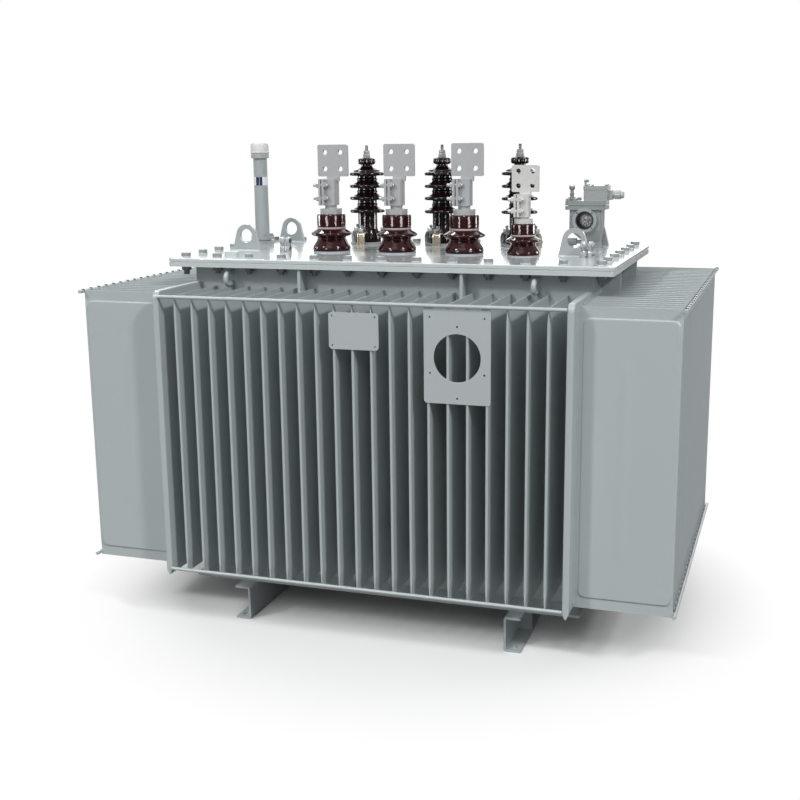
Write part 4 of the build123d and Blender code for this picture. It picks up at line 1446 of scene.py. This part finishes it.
@dataclass
class RelayDressing:
    """Small parts of the protection relay: lens and seal, screws, vent, gland and lever.

    Attributes:
        dish: Radius and share of the dome's height, from the lens's rim to its middle.
        seal: Profile of the rubber seal, in millimetres.
        ring: Profile of the ring round it, in millimetres.
        screw_circle: Distance of the ring's screws from its middle.
        screw: Radius, foot and top of a ring screw.
        vent_foot: Half of the width across flats, foot and top of the vent's hexagon.
        vent_collar: Radius, foot and top of the collar above it.
        vent_stem: Profile of the vent's stem and knob, in millimetres.
        knob_rows: First row of that profile that has grooves, and the row after the last one.
        knob_ribs: Number of ribs round the knob.
        rib_depth: Share of its radius that the grooves between them take away.
        gland_back: How far inside the terminal box's end the gland starts.
        gland_high: Height of its axis above the box's foot.
        gland_collar: Radius, foot and top of the gland's collar.
        gland_nut: Half of the width across flats, foot and top of its nut.
        gland_dome: Profile of the domed end, in millimetres.
        gland_mouth: Profile of the mouth in it, in millimetres.
        bolt: Radius of the washer, half of the head's width across flats and height of both.
        bolt_inset: Distance of the cover bolts from the relay's edges.
        bolt_shift: How far right of the middle of the free stretch the inner bolts stand.
        bolt_turn: Turn of each bolt against the one before it, in radians.
        flange_step: How far the relay's front stands out before the edge for the bolts.
        latch_inset: Distance of the lid's lever from the box's front.
        lever: Lowest and highest corner of the lever's foot, from its place on the lid.
        post: Place and radius of the round post on it.
        knob: Left end, right end and radius of the bar across the post.
        knob_high: Height of that bar above the lid.
        lid_screw: Radius, foot and top of a lid screw.
        lid_screws_front: Distances of the front lid screws from the box's left end.
        lid_screws_rear: The same for the rear ones.
        lid_screw_inset: Distance of the screws from the lever's line and from the rear.
    """

    dish: tuple = ((0.0302, 0.0), (0.026, 0.35), (0.016, 0.75), (0.0, 1.0))
    seal: tuple = (
        (30.0, -3.0), (33.5, -3.0), (34.0, 0.6), (33.2, 1.4), (30.5, 1.4), (29.8, 0.6),
        (30.0, -3.0),
    )
    ring: tuple = (
        (33.8, -2.0), (44.6, -2.0), (45.2, 0.0), (44.6, 1.2), (34.6, 1.2), (33.8, 0.6),
        (33.8, -2.0),
    )
    screw_circle: float = 0.0392
    screw: Point = (0.004, -0.001, 0.0022)
    vent_foot: Point = (0.0125, 0.0, 0.0105)
    vent_collar: Point = (0.0145, 0.0105, 0.0120)
    vent_stem: tuple = (
        (0, 12), (7, 12), (7, 21), (9, 22), (9, 26), (6.5, 27), (6, 39), (9.8, 41), (10.5, 43),
        (10.5, 52), (9, 55), (0, 55.5),
    )
    knob_rows: tuple[int, int] = (8, 10)
    knob_ribs: int = 18
    rib_depth: float = 0.07
    gland_back: float = 0.040
    gland_high: float = 0.020
    gland_collar: Point = (0.0135, 0.0, 0.0075)
    gland_nut: Point = (0.0148, 0.0075, 0.0280)
    gland_dome: tuple = ((0.0, 28.0), (13.0, 28.0), (12.8, 34.0), (11.5, 38.5), (8.5, 40.2))
    gland_mouth: tuple = ((6.0, 40.2), (5.5, 36.0), (0.0, 36.0))
    bolt: Point = (0.0095, 0.0075, 0.0085)
    bolt_inset: float = 0.011
    bolt_shift: float = 0.004
    bolt_turn: float = 0.9
    flange_step: float = 0.001
    latch_inset: float = 0.012
    lever: tuple[Point, Point] = ((0.002, 0.0, 0.0), (0.014, 0.010, 0.004))
    post: Point = (0.006, 0.005, 0.004)
    knob: Point = (0.001, 0.018, 0.005)
    knob_high: float = 0.018
    lid_screw: Point = (0.0055, 0.0, 0.004)
    lid_screws_front: tuple[float, float] = (0.032, 0.0815)
    lid_screws_rear: tuple[float, float] = (0.0815, 0.010)
    lid_screw_inset: tuple[float, float] = (0.006, 0.012)

    def build(self) -> None:
        """Builds the window and then the other small parts."""
        self.window()
        self.vent()
        self.gland()
        self.cover_bolts()
        self.lid_latch()

    def window(self) -> None:
        """Builds the lens with its seal, ring and screws."""
        low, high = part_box("relay_window")
        x, z = (low.x + high.x) / 2, (low.z + high.z) / 2
        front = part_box("relay_body")[0].y
        dome, back = low.y - front, high.y - low.y
        radius = self.dish[0][0]
        dish = rounded([(r, share * dome) for r, share in self.dish])
        lens = lathe([(0.0, -back), (radius, -back)] + dish, 48).turned(TURN_TO_FRONT)
        place = (x, low.y, z)
        finish = replace(SIGHT_GLASS, centre=place, radius=radius)
        piece = lens.moved(place).build("relay_sight_lens", finish)
        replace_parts(piece, "relay_window")
        rings = (("seal", self.seal, RUBBER), ("ring", self.ring, BOX_PAINT))
        for name, profile, finish in rings:
            turned = lathe(scaled(profile), 64).turned(TURN_TO_FRONT)
            turned.moved((x, front, z)).build(f"relay_window_{name}", finish)
        angle = np.radians(45 + 90 * np.arange(4))
        screw = disc(*self.screw, edge=0.0008, segments=20).turned(TURN_TO_FRONT)
        spots = np.insert(ring_places(x, z, self.screw_circle, angle), 1, front, axis=1)
        screw.copies(spots).build("relay_window_screws", DARK_BOLTS)

    def vent(self) -> None:
        """Builds the vent valve: hexagon foot, ringed stem and knurled knob."""
        segments = 72
        lobes = np.ones((len(self.vent_stem), segments))
        lobes[slice(*self.knob_rows)] = ribs(segments, self.knob_ribs, self.rib_depth)
        stem = lathe(scaled(self.vent_stem), segments, lobes)
        valve = joined(hexagon(*self.vent_foot), disc(*self.vent_collar, edge=0.0004), stem)
        place = centre_of("relay_vent_valve")
        piece = valve.moved(place).build("relay_vent", TERMINAL_ZINC)
        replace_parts(piece, "relay_vent_valve")

    def gland(self) -> None:
        """Builds the pale cable gland over the plain one: collar, hexagon and domed nut."""
        low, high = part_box("relay_terminal_box")
        end = rounded(scaled(self.gland_dome), 2) + scaled(self.gland_mouth)
        collar = disc(*self.gland_collar, edge=0.0008, segments=36)
        shell = joined(collar, hexagon(*self.gland_nut), lathe(end, 36))
        place = (high.x - self.gland_back, (low.y + high.y) / 2, low.z + self.gland_high)
        shell.turned(TURN_TO_RIGHT).moved(place).build("relay_gland", GLAND_PLASTIC)

    def cover_bolts(self) -> None:
        """Builds the bolts round the relay's cover."""
        low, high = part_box("relay_body")
        box_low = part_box("relay_terminal_box")[0]
        xs = (low.x + self.bolt_inset, (low.x + box_low.x) / 2 + self.bolt_shift)
        ys = (low.y + self.flange_step + self.bolt_inset, high.y - self.bolt_inset)
        spots = spots_at(np.array([(x, y) for x in xs for y in ys]), box_low.z)
        bolts = washered_head(*self.bolt).copies(spots, np.arange(len(spots)) * self.bolt_turn)
        bolts.build("relay_cover_bolts", BOLT_PAINT)

    def lid_latch(self) -> None:
        """Builds the small lever and four screws on the terminal box's lid."""
        low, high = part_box("relay_terminal_box")
        y = low.y + self.latch_inset
        x, middle, radius = self.post
        post = np.linspace((x, middle, 0.0), (x, middle, self.knob_high), 6)
        left, right, knob_radius = self.knob
        knob = np.linspace((left, middle, self.knob_high), (right, middle, self.knob_high), 6)
        latch = joined(slab(*self.lever, edge=0.0015), tube(post, radius), tube(knob, knob_radius))
        latch = latch.moved((low.x, y, high.z))
        latch.build("relay_lid_lever", BOLT_PAINT)
        ahead, behind = self.lid_screw_inset
        spots = [(low.x + x, y + ahead) for x in self.lid_screws_front]
        spots += [(low.x + x, high.y - behind) for x in self.lid_screws_rear]
        screw = disc(*self.lid_screw, edge=0.001, segments=20)
        screws = screw.copies(spots_at(np.array(spots), high.z))
        screws.build("relay_lid_screws", BOLT_PAINT)


@dataclass
class ThermometerPockets:
    """Plated pockets in pairs on the cover: collar, hexagon, waist and domed hexagon cap.

    Attributes:
        pitch: Distance between the two pockets of a pair.
        inset: Distance of the outer ones from the ends of the CAD node.
        collar: Radius, foot and top of the collar.
        nut: Half of the width across flats, foot and top of the hexagon above it.
        waist: Radius, foot and top of the waist.
        cap: Half of the width across flats, foot and top of the cap's hexagon.
        dome: Profile of the cap's top, in millimetres.
        turns: Turn of each pocket, in radians.
    """

    pitch: float = 0.025
    inset: float = 0.0127
    collar: Point = (0.0122, 0.0, 0.004)
    nut: Point = (0.0108, 0.004, 0.020)
    waist: Point = (0.0088, 0.020, 0.034)
    cap: Point = (0.0110, 0.034, 0.051)
    dome: tuple = ((0.0, 51.0), (8.5, 51.0), (8.0, 53.5), (5.5, 55.0), (0.0, 55.5))
    turns: tuple = (0.2, 0.5, 0.1, 0.4)

    def build(self) -> None:
        """Builds the four pockets in place of the plain ones."""
        low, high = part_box("thermometer_pockets")
        left, right = low.x + self.inset, high.x - self.inset
        y = (low.y + high.y) / 2
        plan = np.array([(x, y) for x in (left, left + self.pitch, right - self.pitch, right)])
        collar = disc(*self.collar, edge=0.0006, segments=36)
        waist = disc(*self.waist, edge=0.0004, segments=36)
        cap = joined(hexagon(*self.cap), lathe(scaled(self.dome), 36))
        body = joined(collar, hexagon(*self.nut), waist, cap)
        pockets = body.copies(spots_at(plan, cover_top()), np.array(self.turns))
        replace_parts(pockets.build("thermometer_caps", BRIGHT_ZINC), "thermometer_pockets")


@dataclass
class WeldBeads:
    """Rippled weld beads where the lifting lugs stand on the cover.

    Attributes:
        radius: Radius of a bead.
        ripple: Length of one ripple.
        swell: Share of the radius by which a ripple stands out.
        width: Width of a lug.
        thick: Thickness of a lug.
        gap: How far the bead's line lies outside the lug's face.
    """

    radius: float = 0.0035
    ripple: float = 0.0035
    swell: float = 0.12
    width: float = 0.112
    thick: float = 0.016
    gap: float = 0.001

    def bead(self, start: Point, end: Point) -> Shell:
        """Builds one bead.

        The radius along the bead is the plain radius times one plus the swell times a sine of
        the distance over the ripple length.

        Args:
            start: Where the bead starts.
            end: Where it ends.

        Returns:
            The bead's shell.
        """
        start, end = np.asarray(start, float), np.asarray(end, float)
        length = float(np.linalg.norm(end - start))
        steps = max(8, int(length / self.ripple * 3))
        share = np.linspace(0, 1, steps)[:, None]
        shell = tube(start + share * (end - start), self.radius, 8)
        axis = (end - start) / length
        along = (shell.points - start) @ axis
        middle = start + along[:, None] * axis
        swell = 1 + self.swell * np.sin(2 * math.pi * along / self.ripple)
        return Shell(middle + (shell.points - middle) * swell[:, None], shell.faces)

    def build(self) -> None:
        """Builds a bead along both faces of each lug's foot."""
        top, half, deep = cover_top(), self.width / 2, self.thick / 2
        low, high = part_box("lifting_lugs")
        beads = []
        for x in (low.x + half, high.x - half):
            for y in (low.y + deep, high.y - deep):
                for side in (-1, 1):
                    at = y + side * (deep + self.gap)
                    beads.append(self.bead((x - half, at, top), (x + half, at, top)))
        joined(*beads).build("lug_weld_beads", PAINT_BEAD)


@dataclass
class PanelSkins:
    """Pressed outer sheets of the side banks: a flat face with rounded edges and a soft bead.

    Attributes:
        fin_pitch: Distance between the fins of a side bank, in millimetres.
        fins_out: Number of pitches from the middle to the last fin.
        fin_thick: Thickness of the fins, in millimetres.
        span: Least and greatest distance of the sheet from the middle, across.
        heights: Its lowest and highest edge.
        seat: How far inside the last fin's face the sheet starts.
        rise: How far it stands out from there.
        wall: How far behind its edge the sheet is closed.
        corner: Radius of its corners.
        near: Distances from an edge of the first lines of the grid, in millimetres.
        inner: Distance from an edge at which the even lines of the grid start.
        lines: Number of even lines across and up.
        bead: Middle, half width, lowest and highest point and rise of the bead.
    """

    fin_pitch: float = 49.0
    fins_out: float = 12.5
    fin_thick: float = 9.5
    span: tuple[float, float] = (0.735, 1.031)
    heights: tuple[float, float] = (0.256, 1.1665)
    seat: float = 0.00325
    rise: float = 0.0050
    wall: float = 0.0005
    corner: float = 0.022
    near: tuple = (0.0, 0.2, 0.5, 0.9, 1.5, 2.3, 3.4, 5.0, 8.0, 13.0, 22.0)
    inner: float = 0.03
    lines: tuple[int, int] = (30, 60)
    bead: tuple[float, float, float, float, float] = (0.871, 0.022, 0.385, 1.035, 0.0016)

    def grid(self, ends: tuple[float, float], lines: int) -> np.ndarray:
        """Spaces the lines of the grid, close together near both edges.

        Args:
            ends: The two edges.
            lines: Number of even lines between them.

        Returns:
            One position for each line.
        """
        low, high = ends
        near = np.array(self.near) / 1000
        even = np.linspace(low + self.inner, high - self.inner, lines)
        return np.concatenate([low + near, even, (high - near)[::-1]])

    def bulge(self, gx: np.ndarray, gz: np.ndarray) -> np.ndarray:
        """Gives how far the sheet stands out at each point.

        It is rise times the square root of 1 minus the square of 1 minus d over rise, where d
        is the distance inside the rounded outline, up to rise. The bead adds its own rise times
        the squared cosine of the distance from its middle line.

        Args:
            gx: Distances from the middle, across.
            gz: Heights.

        Returns:
            One distance for each point.
        """
        across = np.abs(gx - np.mean(self.span)) - np.ptp(self.span) / 2 + self.corner
        along = np.abs(gz - np.mean(self.heights)) - np.ptp(self.heights) / 2 + self.corner
        outside = np.hypot(np.maximum(across, 0), np.maximum(along, 0))
        inside = self.corner - outside - np.minimum(np.maximum(across, along), 0)
        share = np.clip(inside / self.rise, 0, 1)
        middle, half_width, low, high, rise = self.bead
        reach = np.hypot(gx - middle, gz - np.clip(gz, low + half_width, high - half_width))
        bead = rise * np.cos(np.clip(reach / half_width, 0, 1) * math.pi / 2) ** 2
        return self.rise * np.sqrt(1 - (1 - share) ** 2) + bead

    def surface(self) -> Shell:
        """Builds the sheet of the right bank's front.

        The outer face is a grid pushed out by the bulge, the back is the same grid, flat, and
        a rim joins the edges of the two.

        Returns:
            The closed shell.
        """
        x, z = self.grid(self.span, self.lines[0]), self.grid(self.heights, self.lines[1])
        gx, gz = np.meshgrid(x, z)
        face = -(self.fin_pitch * self.fins_out + self.fin_thick / 2) / 1000 + self.seat
        front = np.stack([gx, face - self.bulge(gx, gz), gz], -1).reshape(-1, 3)
        back = np.stack([gx, np.full_like(gx, face + self.wall), gz], -1).reshape(-1, 3)
        count = len(front)
        outer = grid_faces(len(z), len(x), False)
        index = np.arange(count).reshape(gx.shape)
        rim = np.concatenate([index[0], index[1:, -1], index[-1, -2::-1], index[-2:0:-1, 0]])
        beside = np.roll(rim, -1)
        edge = np.stack([beside, rim, rim + count, beside + count], -1)
        faces = np.concatenate([outer, outer[:, ::-1] + count, edge])
        return Shell(np.concatenate([front, back]), faces)

    def build(self) -> None:
        """Builds the four sheets, each mirrored to its corner."""
        sheet = self.surface()
        for side, across in (("right", 1), ("left", -1)):
            for end, along in (("front", 1), ("rear", -1)):
                faces = sheet.faces if across == along else sheet.faces[:, ::-1]
                shell = Shell(sheet.points * (across, along, 1), faces)
                shell.build(f"{side}_{end}_sheet", PAINT)


@dataclass
class FinEndShade:
    """Small dark spots of painted shade for the gaps where the side banks' fins meet the tie bars.

    Attributes:
        count: Number of fins on a side bank.
        pitch: Distance between two fins.
        inset: Distance of the bar's axis from its outer face.
        sink: How far below the bar's top a spot starts.
        profile: Profile of a spot, in millimetres.
    """

    count: int = 26
    pitch: float = 0.049
    inset: float = 0.006
    sink: float = 0.0022
    profile: tuple = ((0.0, 0.0), (5.4, 0.0), (5.4, 3.4), (0.0, 4.2))

    def build(self) -> None:
        """Builds a row of painted shade spots on each side bank's upper bar."""
        spot = lathe(scaled(self.profile), 14)
        for name in ("left_tie_bars", "right_tie_bars"):
            low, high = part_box(name)
            outer = low.x + self.inset if low.x < 0 else high.x - self.inset
            along = (np.arange(self.count) - (self.count - 1) / 2) * self.pitch
            plan = np.column_stack([np.full(self.count, outer), along])
            spot.copies(spots_at(plan, high.z - self.sink)).build(f"{name}_painted_shade_spots", FIN_END_SHADE)


# Camera, lamps and surround
@dataclass
class Camera:
    """Camera at the photograph's viewing angle.

    Attributes:
        place: Position in metres.
        yaw: Turn to the left of straight ahead, in radians.
        pitch: Look up or down, in radians.
        roll: Turn about the line of sight, in radians.
        focal_pixels: Focal length in pixels of the photograph.
    """

    place: Point = (1.3670, -4.2209, 1.6891)
    yaw: float = 0.3287
    pitch: float = -0.2112
    roll: float = -0.0116
    focal_pixels: float = 1186.5

    def build(self) -> None:
        """Builds the camera and makes it the scene's own."""
        ahead = Vector((
            -math.sin(self.yaw) * math.cos(self.pitch), math.cos(self.yaw) * math.cos(self.pitch),
            math.sin(self.pitch),
        ))
        right = Vector((math.cos(self.yaw), math.sin(self.yaw), 0.0))
        up = right.cross(ahead)
        side = math.cos(self.roll) * right + math.sin(self.roll) * up
        head = -math.sin(self.roll) * right + math.cos(self.roll) * up
        data = bpy.data.cameras.new("photo_camera")
        data.sensor_width = data.sensor_height = SENSOR_MM
        data.sensor_fit = "HORIZONTAL"
        data.lens = self.focal_pixels / PHOTO_PIXELS * SENSOR_MM
        data.clip_end = 100.0
        camera = bpy.data.objects.new("photo_camera", data)
        matrix = Matrix((side, head, -ahead)).transposed().to_4x4()
        matrix.translation = Vector(self.place)
        camera.matrix_world = matrix
        bpy.context.scene.collection.objects.link(camera)
        bpy.context.scene.camera = camera


def hang_lamp(data: bpy.types.Light, towards: Vector) -> bpy.types.Object:
    """Puts a lamp into the scene, turned to shine along a direction.

    Args:
        data: The lamp's own data.
        towards: Direction in which it shines.

    Returns:
        The lamp, at the origin.
    """
    lamp = bpy.data.objects.new(data.name, data)
    lamp.rotation_euler = towards.to_track_quat("-Z", "Y").to_euler()
    bpy.context.scene.collection.objects.link(lamp)
    return lamp


@dataclass
class Sun:
    """A lamp far away.

    Attributes:
        name: Name of the lamp.
        towards: Direction in which it shines.
        strength: Its strength.
        angle_deg: How wide it is seen.
        glint: Whether it shows only as a highlight, as a far window does.
    """

    name: str
    towards: Point
    strength: float
    angle_deg: float
    glint: bool = False

    def build(self) -> None:
        """Builds the lamp, which shines along its direction."""
        data = bpy.data.lights.new(self.name, "SUN")
        data.energy = self.strength
        data.angle = math.radians(self.angle_deg)
        hang_lamp(data, Vector(self.towards)).visible_diffuse = not self.glint


@dataclass
class Strip:
    """A tall strip lamp that only the glazed pieces show, as upright glints.

    Attributes:
        name: Name of the lamp.
        azimuth_deg: Direction in which it stands, from the +X axis.
        power: Its power in watts.
        size: Width and height.
        distance: How far from the middle it stands.
        height: Height of its middle.
        aim_height: Height on the middle axis that it faces.
    """

    name: str
    azimuth_deg: float
    power: float = 160.0
    size: tuple[float, float] = (1.0, 1.6)
    distance: float = 4.0
    height: float = 1.6
    aim_height: float = 1.45

    def build(self, receivers: bpy.types.Collection) -> None:
        """Builds the lamp, which faces the middle.

        Args:
            receivers: The pieces that it lights; nothing else shows it.
        """
        data = bpy.data.lights.new(self.name, "AREA")
        data.shape = "RECTANGLE"
        data.size, data.size_y = self.size
        data.energy = self.power
        angle = math.radians(self.azimuth_deg)
        out = self.distance
        place = Vector((out * math.cos(angle), out * math.sin(angle), self.height))
        lamp = hang_lamp(data, Vector((0, 0, self.aim_height)) - place)
        lamp.location = place
        lamp.visible_diffuse = False
        lamp.light_linking.receiver_collection = receivers


@dataclass
class Studio:
    """White floor and surround with soft light.

    Attributes:
        sky: Strength of the even light from all round.
        suns: The soft lamps.
        strips: The strip lamps that only the glazed pieces show.
        floor_size: Length of the floor's sides.
        floor_grey: How much light the floor throws back on the object.
        fade: Distances from the middle over which the floor turns to plain white.
        fade_stretch: Factors on x, y and z for that distance.
    """

    sky: float = 0.25
    suns: tuple = (
        Sun("front_softbox", (0.05, 0.80, -0.80), 0.9, 40.0),
        Sun("left_key", (0.80, 1.10, -1.0), 0.95, 7.0),
        Sun("right_key", (-1.0, 0.55, -0.85), 1.35, 7.0),
        Sun("rear_softbox", (0.15, -1.0, -0.45), 0.9, 50.0),
        Sun("top_window", (0.0, 0.30, -1.0), 0.8, 8.0, True),
        Sun("rear_window", (0.5, -0.45, -0.8), 0.8, 8.0, True),
    )
    strips: tuple = (
        Strip("left_strip", -110.0), Strip("right_strip", -36.0),
        Strip("far_right_strip", 34.0), Strip("far_left_strip", 178.0),
    )
    floor_size: float = 60.0
    floor_grey: float = 0.30
    fade: tuple[float, float] = (0.90, 1.35)
    fade_stretch: Point = (1.0, 1.05, 1.0)

    def build(self) -> None:
        """Builds the floor, the world and the far lamps."""
        scene = bpy.context.scene
        scene.view_settings.view_transform = "Standard"
        bpy.ops.mesh.primitive_plane_add(size=self.floor_size)
        floor = bpy.context.active_object
        floor.name = "studio_floor"
        floor.data.materials.append(self.floor_material())
        scene.world = bpy.data.worlds.new("white_surround")
        maker = bare_tree(scene.world)
        seen = {0: self.seen_directly(maker), 3: self.sky, 4: 1.0}
        strength = maker.add("ShaderNodeMapRange", seen).outputs[0]
        light = maker.add("ShaderNodeBackground", {0: rgba((1.0, 1.0, 1.0)), 1: strength})
        maker.add("ShaderNodeOutputWorld", {0: light.outputs[0]})
        for sun in self.suns:
            sun.build()

    def glints(self) -> None:
        """Builds the strip lamps for the glazed pieces."""
        receivers = bpy.data.collections.new("glazed_pieces")
        for piece in bpy.context.scene.objects:
            worn = piece.data.materials if piece.type == "MESH" else ()
            if any(material and "glaze" in material.name for material in worn):
                receivers.objects.link(piece)
        for strip in self.strips:
            strip.build(receivers)

    def seen_directly(self, maker: NodeMaker) -> bpy.types.NodeSocket:
        """Tells the rays that show the surround itself from those that only carry its light.

        Args:
            maker: Maker of the world's nodes.

        Returns:
            1 for camera, glossy and transmission rays, and 0 for others.
        """
        path = maker.add("ShaderNodeLightPath").outputs
        shiny = maker.math("MAXIMUM", path["Is Camera Ray"], path["Is Glossy Ray"])
        return maker.math("MAXIMUM", shiny, path["Is Transmission Ray"])

    def floor_material(self) -> bpy.types.Material:
        """Returns a floor that keeps the object's shadow and turns plain white further out."""
        made = bpy.data.materials.new("white_floor")
        maker = bare_tree(made)
        path = maker.add("ShaderNodeLightPath").outputs
        white = rgba((1.0, 1.0, 1.0))
        dim = maker.add("ShaderNodeBsdfDiffuse", {0: rgba((self.floor_grey,) * 3)})
        shaded = maker.add("ShaderNodeBsdfDiffuse", {0: white})
        bare = maker.add("ShaderNodeEmission", {0: white, 1: 1.0})
        stretched = maker.vector("MULTIPLY", {0: maker.place(), 1: self.fade_stretch}).outputs[0]
        reach = maker.vector("LENGTH", {0: stretched}).outputs["Value"]
        seen = maker.add("ShaderNodeMixShader", {
            0: maker.spread(reach, *self.fade), 1: shaded.outputs[0], 2: bare.outputs[0],
        })
        mix = maker.add("ShaderNodeMixShader", {
            0: path["Is Camera Ray"], 1: dim.outputs[0], 2: seen.outputs[0],
        })
        maker.add("ShaderNodeOutputMaterial", {0: mix.outputs[0]})
        return made


NODE_FINISHES = {
    PAINT: (
        "tank_body", "bottom_plate", "front_fin_bank", "rear_fin_bank", "left_fin_bank",
        "right_fin_bank", "left_end_panels", "right_end_panels", "front_tie_bars",
        "rear_tie_bars", "left_tie_bars", "right_tie_bars", "left_skid", "right_skid",
        "flange_ribs", "lashing_hooks",
    ),
    GLOSS_PAINT: ("filler_pipe", "lifting_lugs"),
    RELAY_PAINT: ("relay_body",),
    BOX_PAINT: ("relay_terminal_box",),
    COVER_PAINT: ("cover_plate", "tank_flange", "earthing_pad"),
    PLATE_PAINT: ("gauge_plate", "rating_plate"),
    PALE_GASKET: ("cover_gasket",),
    RED_GLAZE: ("lv_bushing_1", "lv_bushing_2", "lv_bushing_3", "neutral_bushing"),
    DARK_GLAZE: ("hv_bushing_1", "hv_bushing_2", "hv_bushing_3"),
    GREY_RING: ("lv_base_rings",),
    PALM_ALUMINIUM: ("lv_connector_1", "lv_connector_2", "lv_connector_3"),
    PALE_PALM: ("neutral_connector",),
    BRIGHT_ZINC: ("thermometer_pockets", "hv_clamp_rings"),
    BRASS: ("hv_terminals", "relay_vent_valve", "relay_window"),
    CAP_PLASTIC: ("filler_cap",),
}


def dress_nodes(nodes: dict[str, bpy.types.Object]) -> None:
    """Puts a finish on every CAD node.

    Args:
        nodes: The frame's nodes by name.
    """
    for finish, names in NODE_FINISHES.items():
        for name in names:
            finish.dress_node(nodes[name])
            LOG.info("%s wears %s", name, finish.name)


def main() -> None:
    """Dresses the frame's nodes and builds the pieces in order."""
    logging.basicConfig(level=logging.INFO, format="%(name)s: %(message)s")
    Camera().build()
    studio = Studio()
    studio.build()
    dress_nodes(frame["nodes"])
    assemblies = [RimBolts()]
    assemblies += [LowBushing(f"lv_bushing_{k}") for k in (1, 2, 3)]
    assemblies += [LowBushing("neutral_bushing")]
    assemblies += [HighBushing(f"hv_bushing_{k}") for k in (1, 2, 3)]
    assemblies += [HighTerminals(), HighClaws(), FillerDressing(), RelayDressing()]
    assemblies += [ThermometerPockets(), WeldBeads(), PanelSkins(), FinEndShade()]
    for assembly in assemblies:
        assembly.build()
        LOG.info("%s done", type(assembly).__name__)
    studio.glints()


if __name__ == "__main__":
    main()
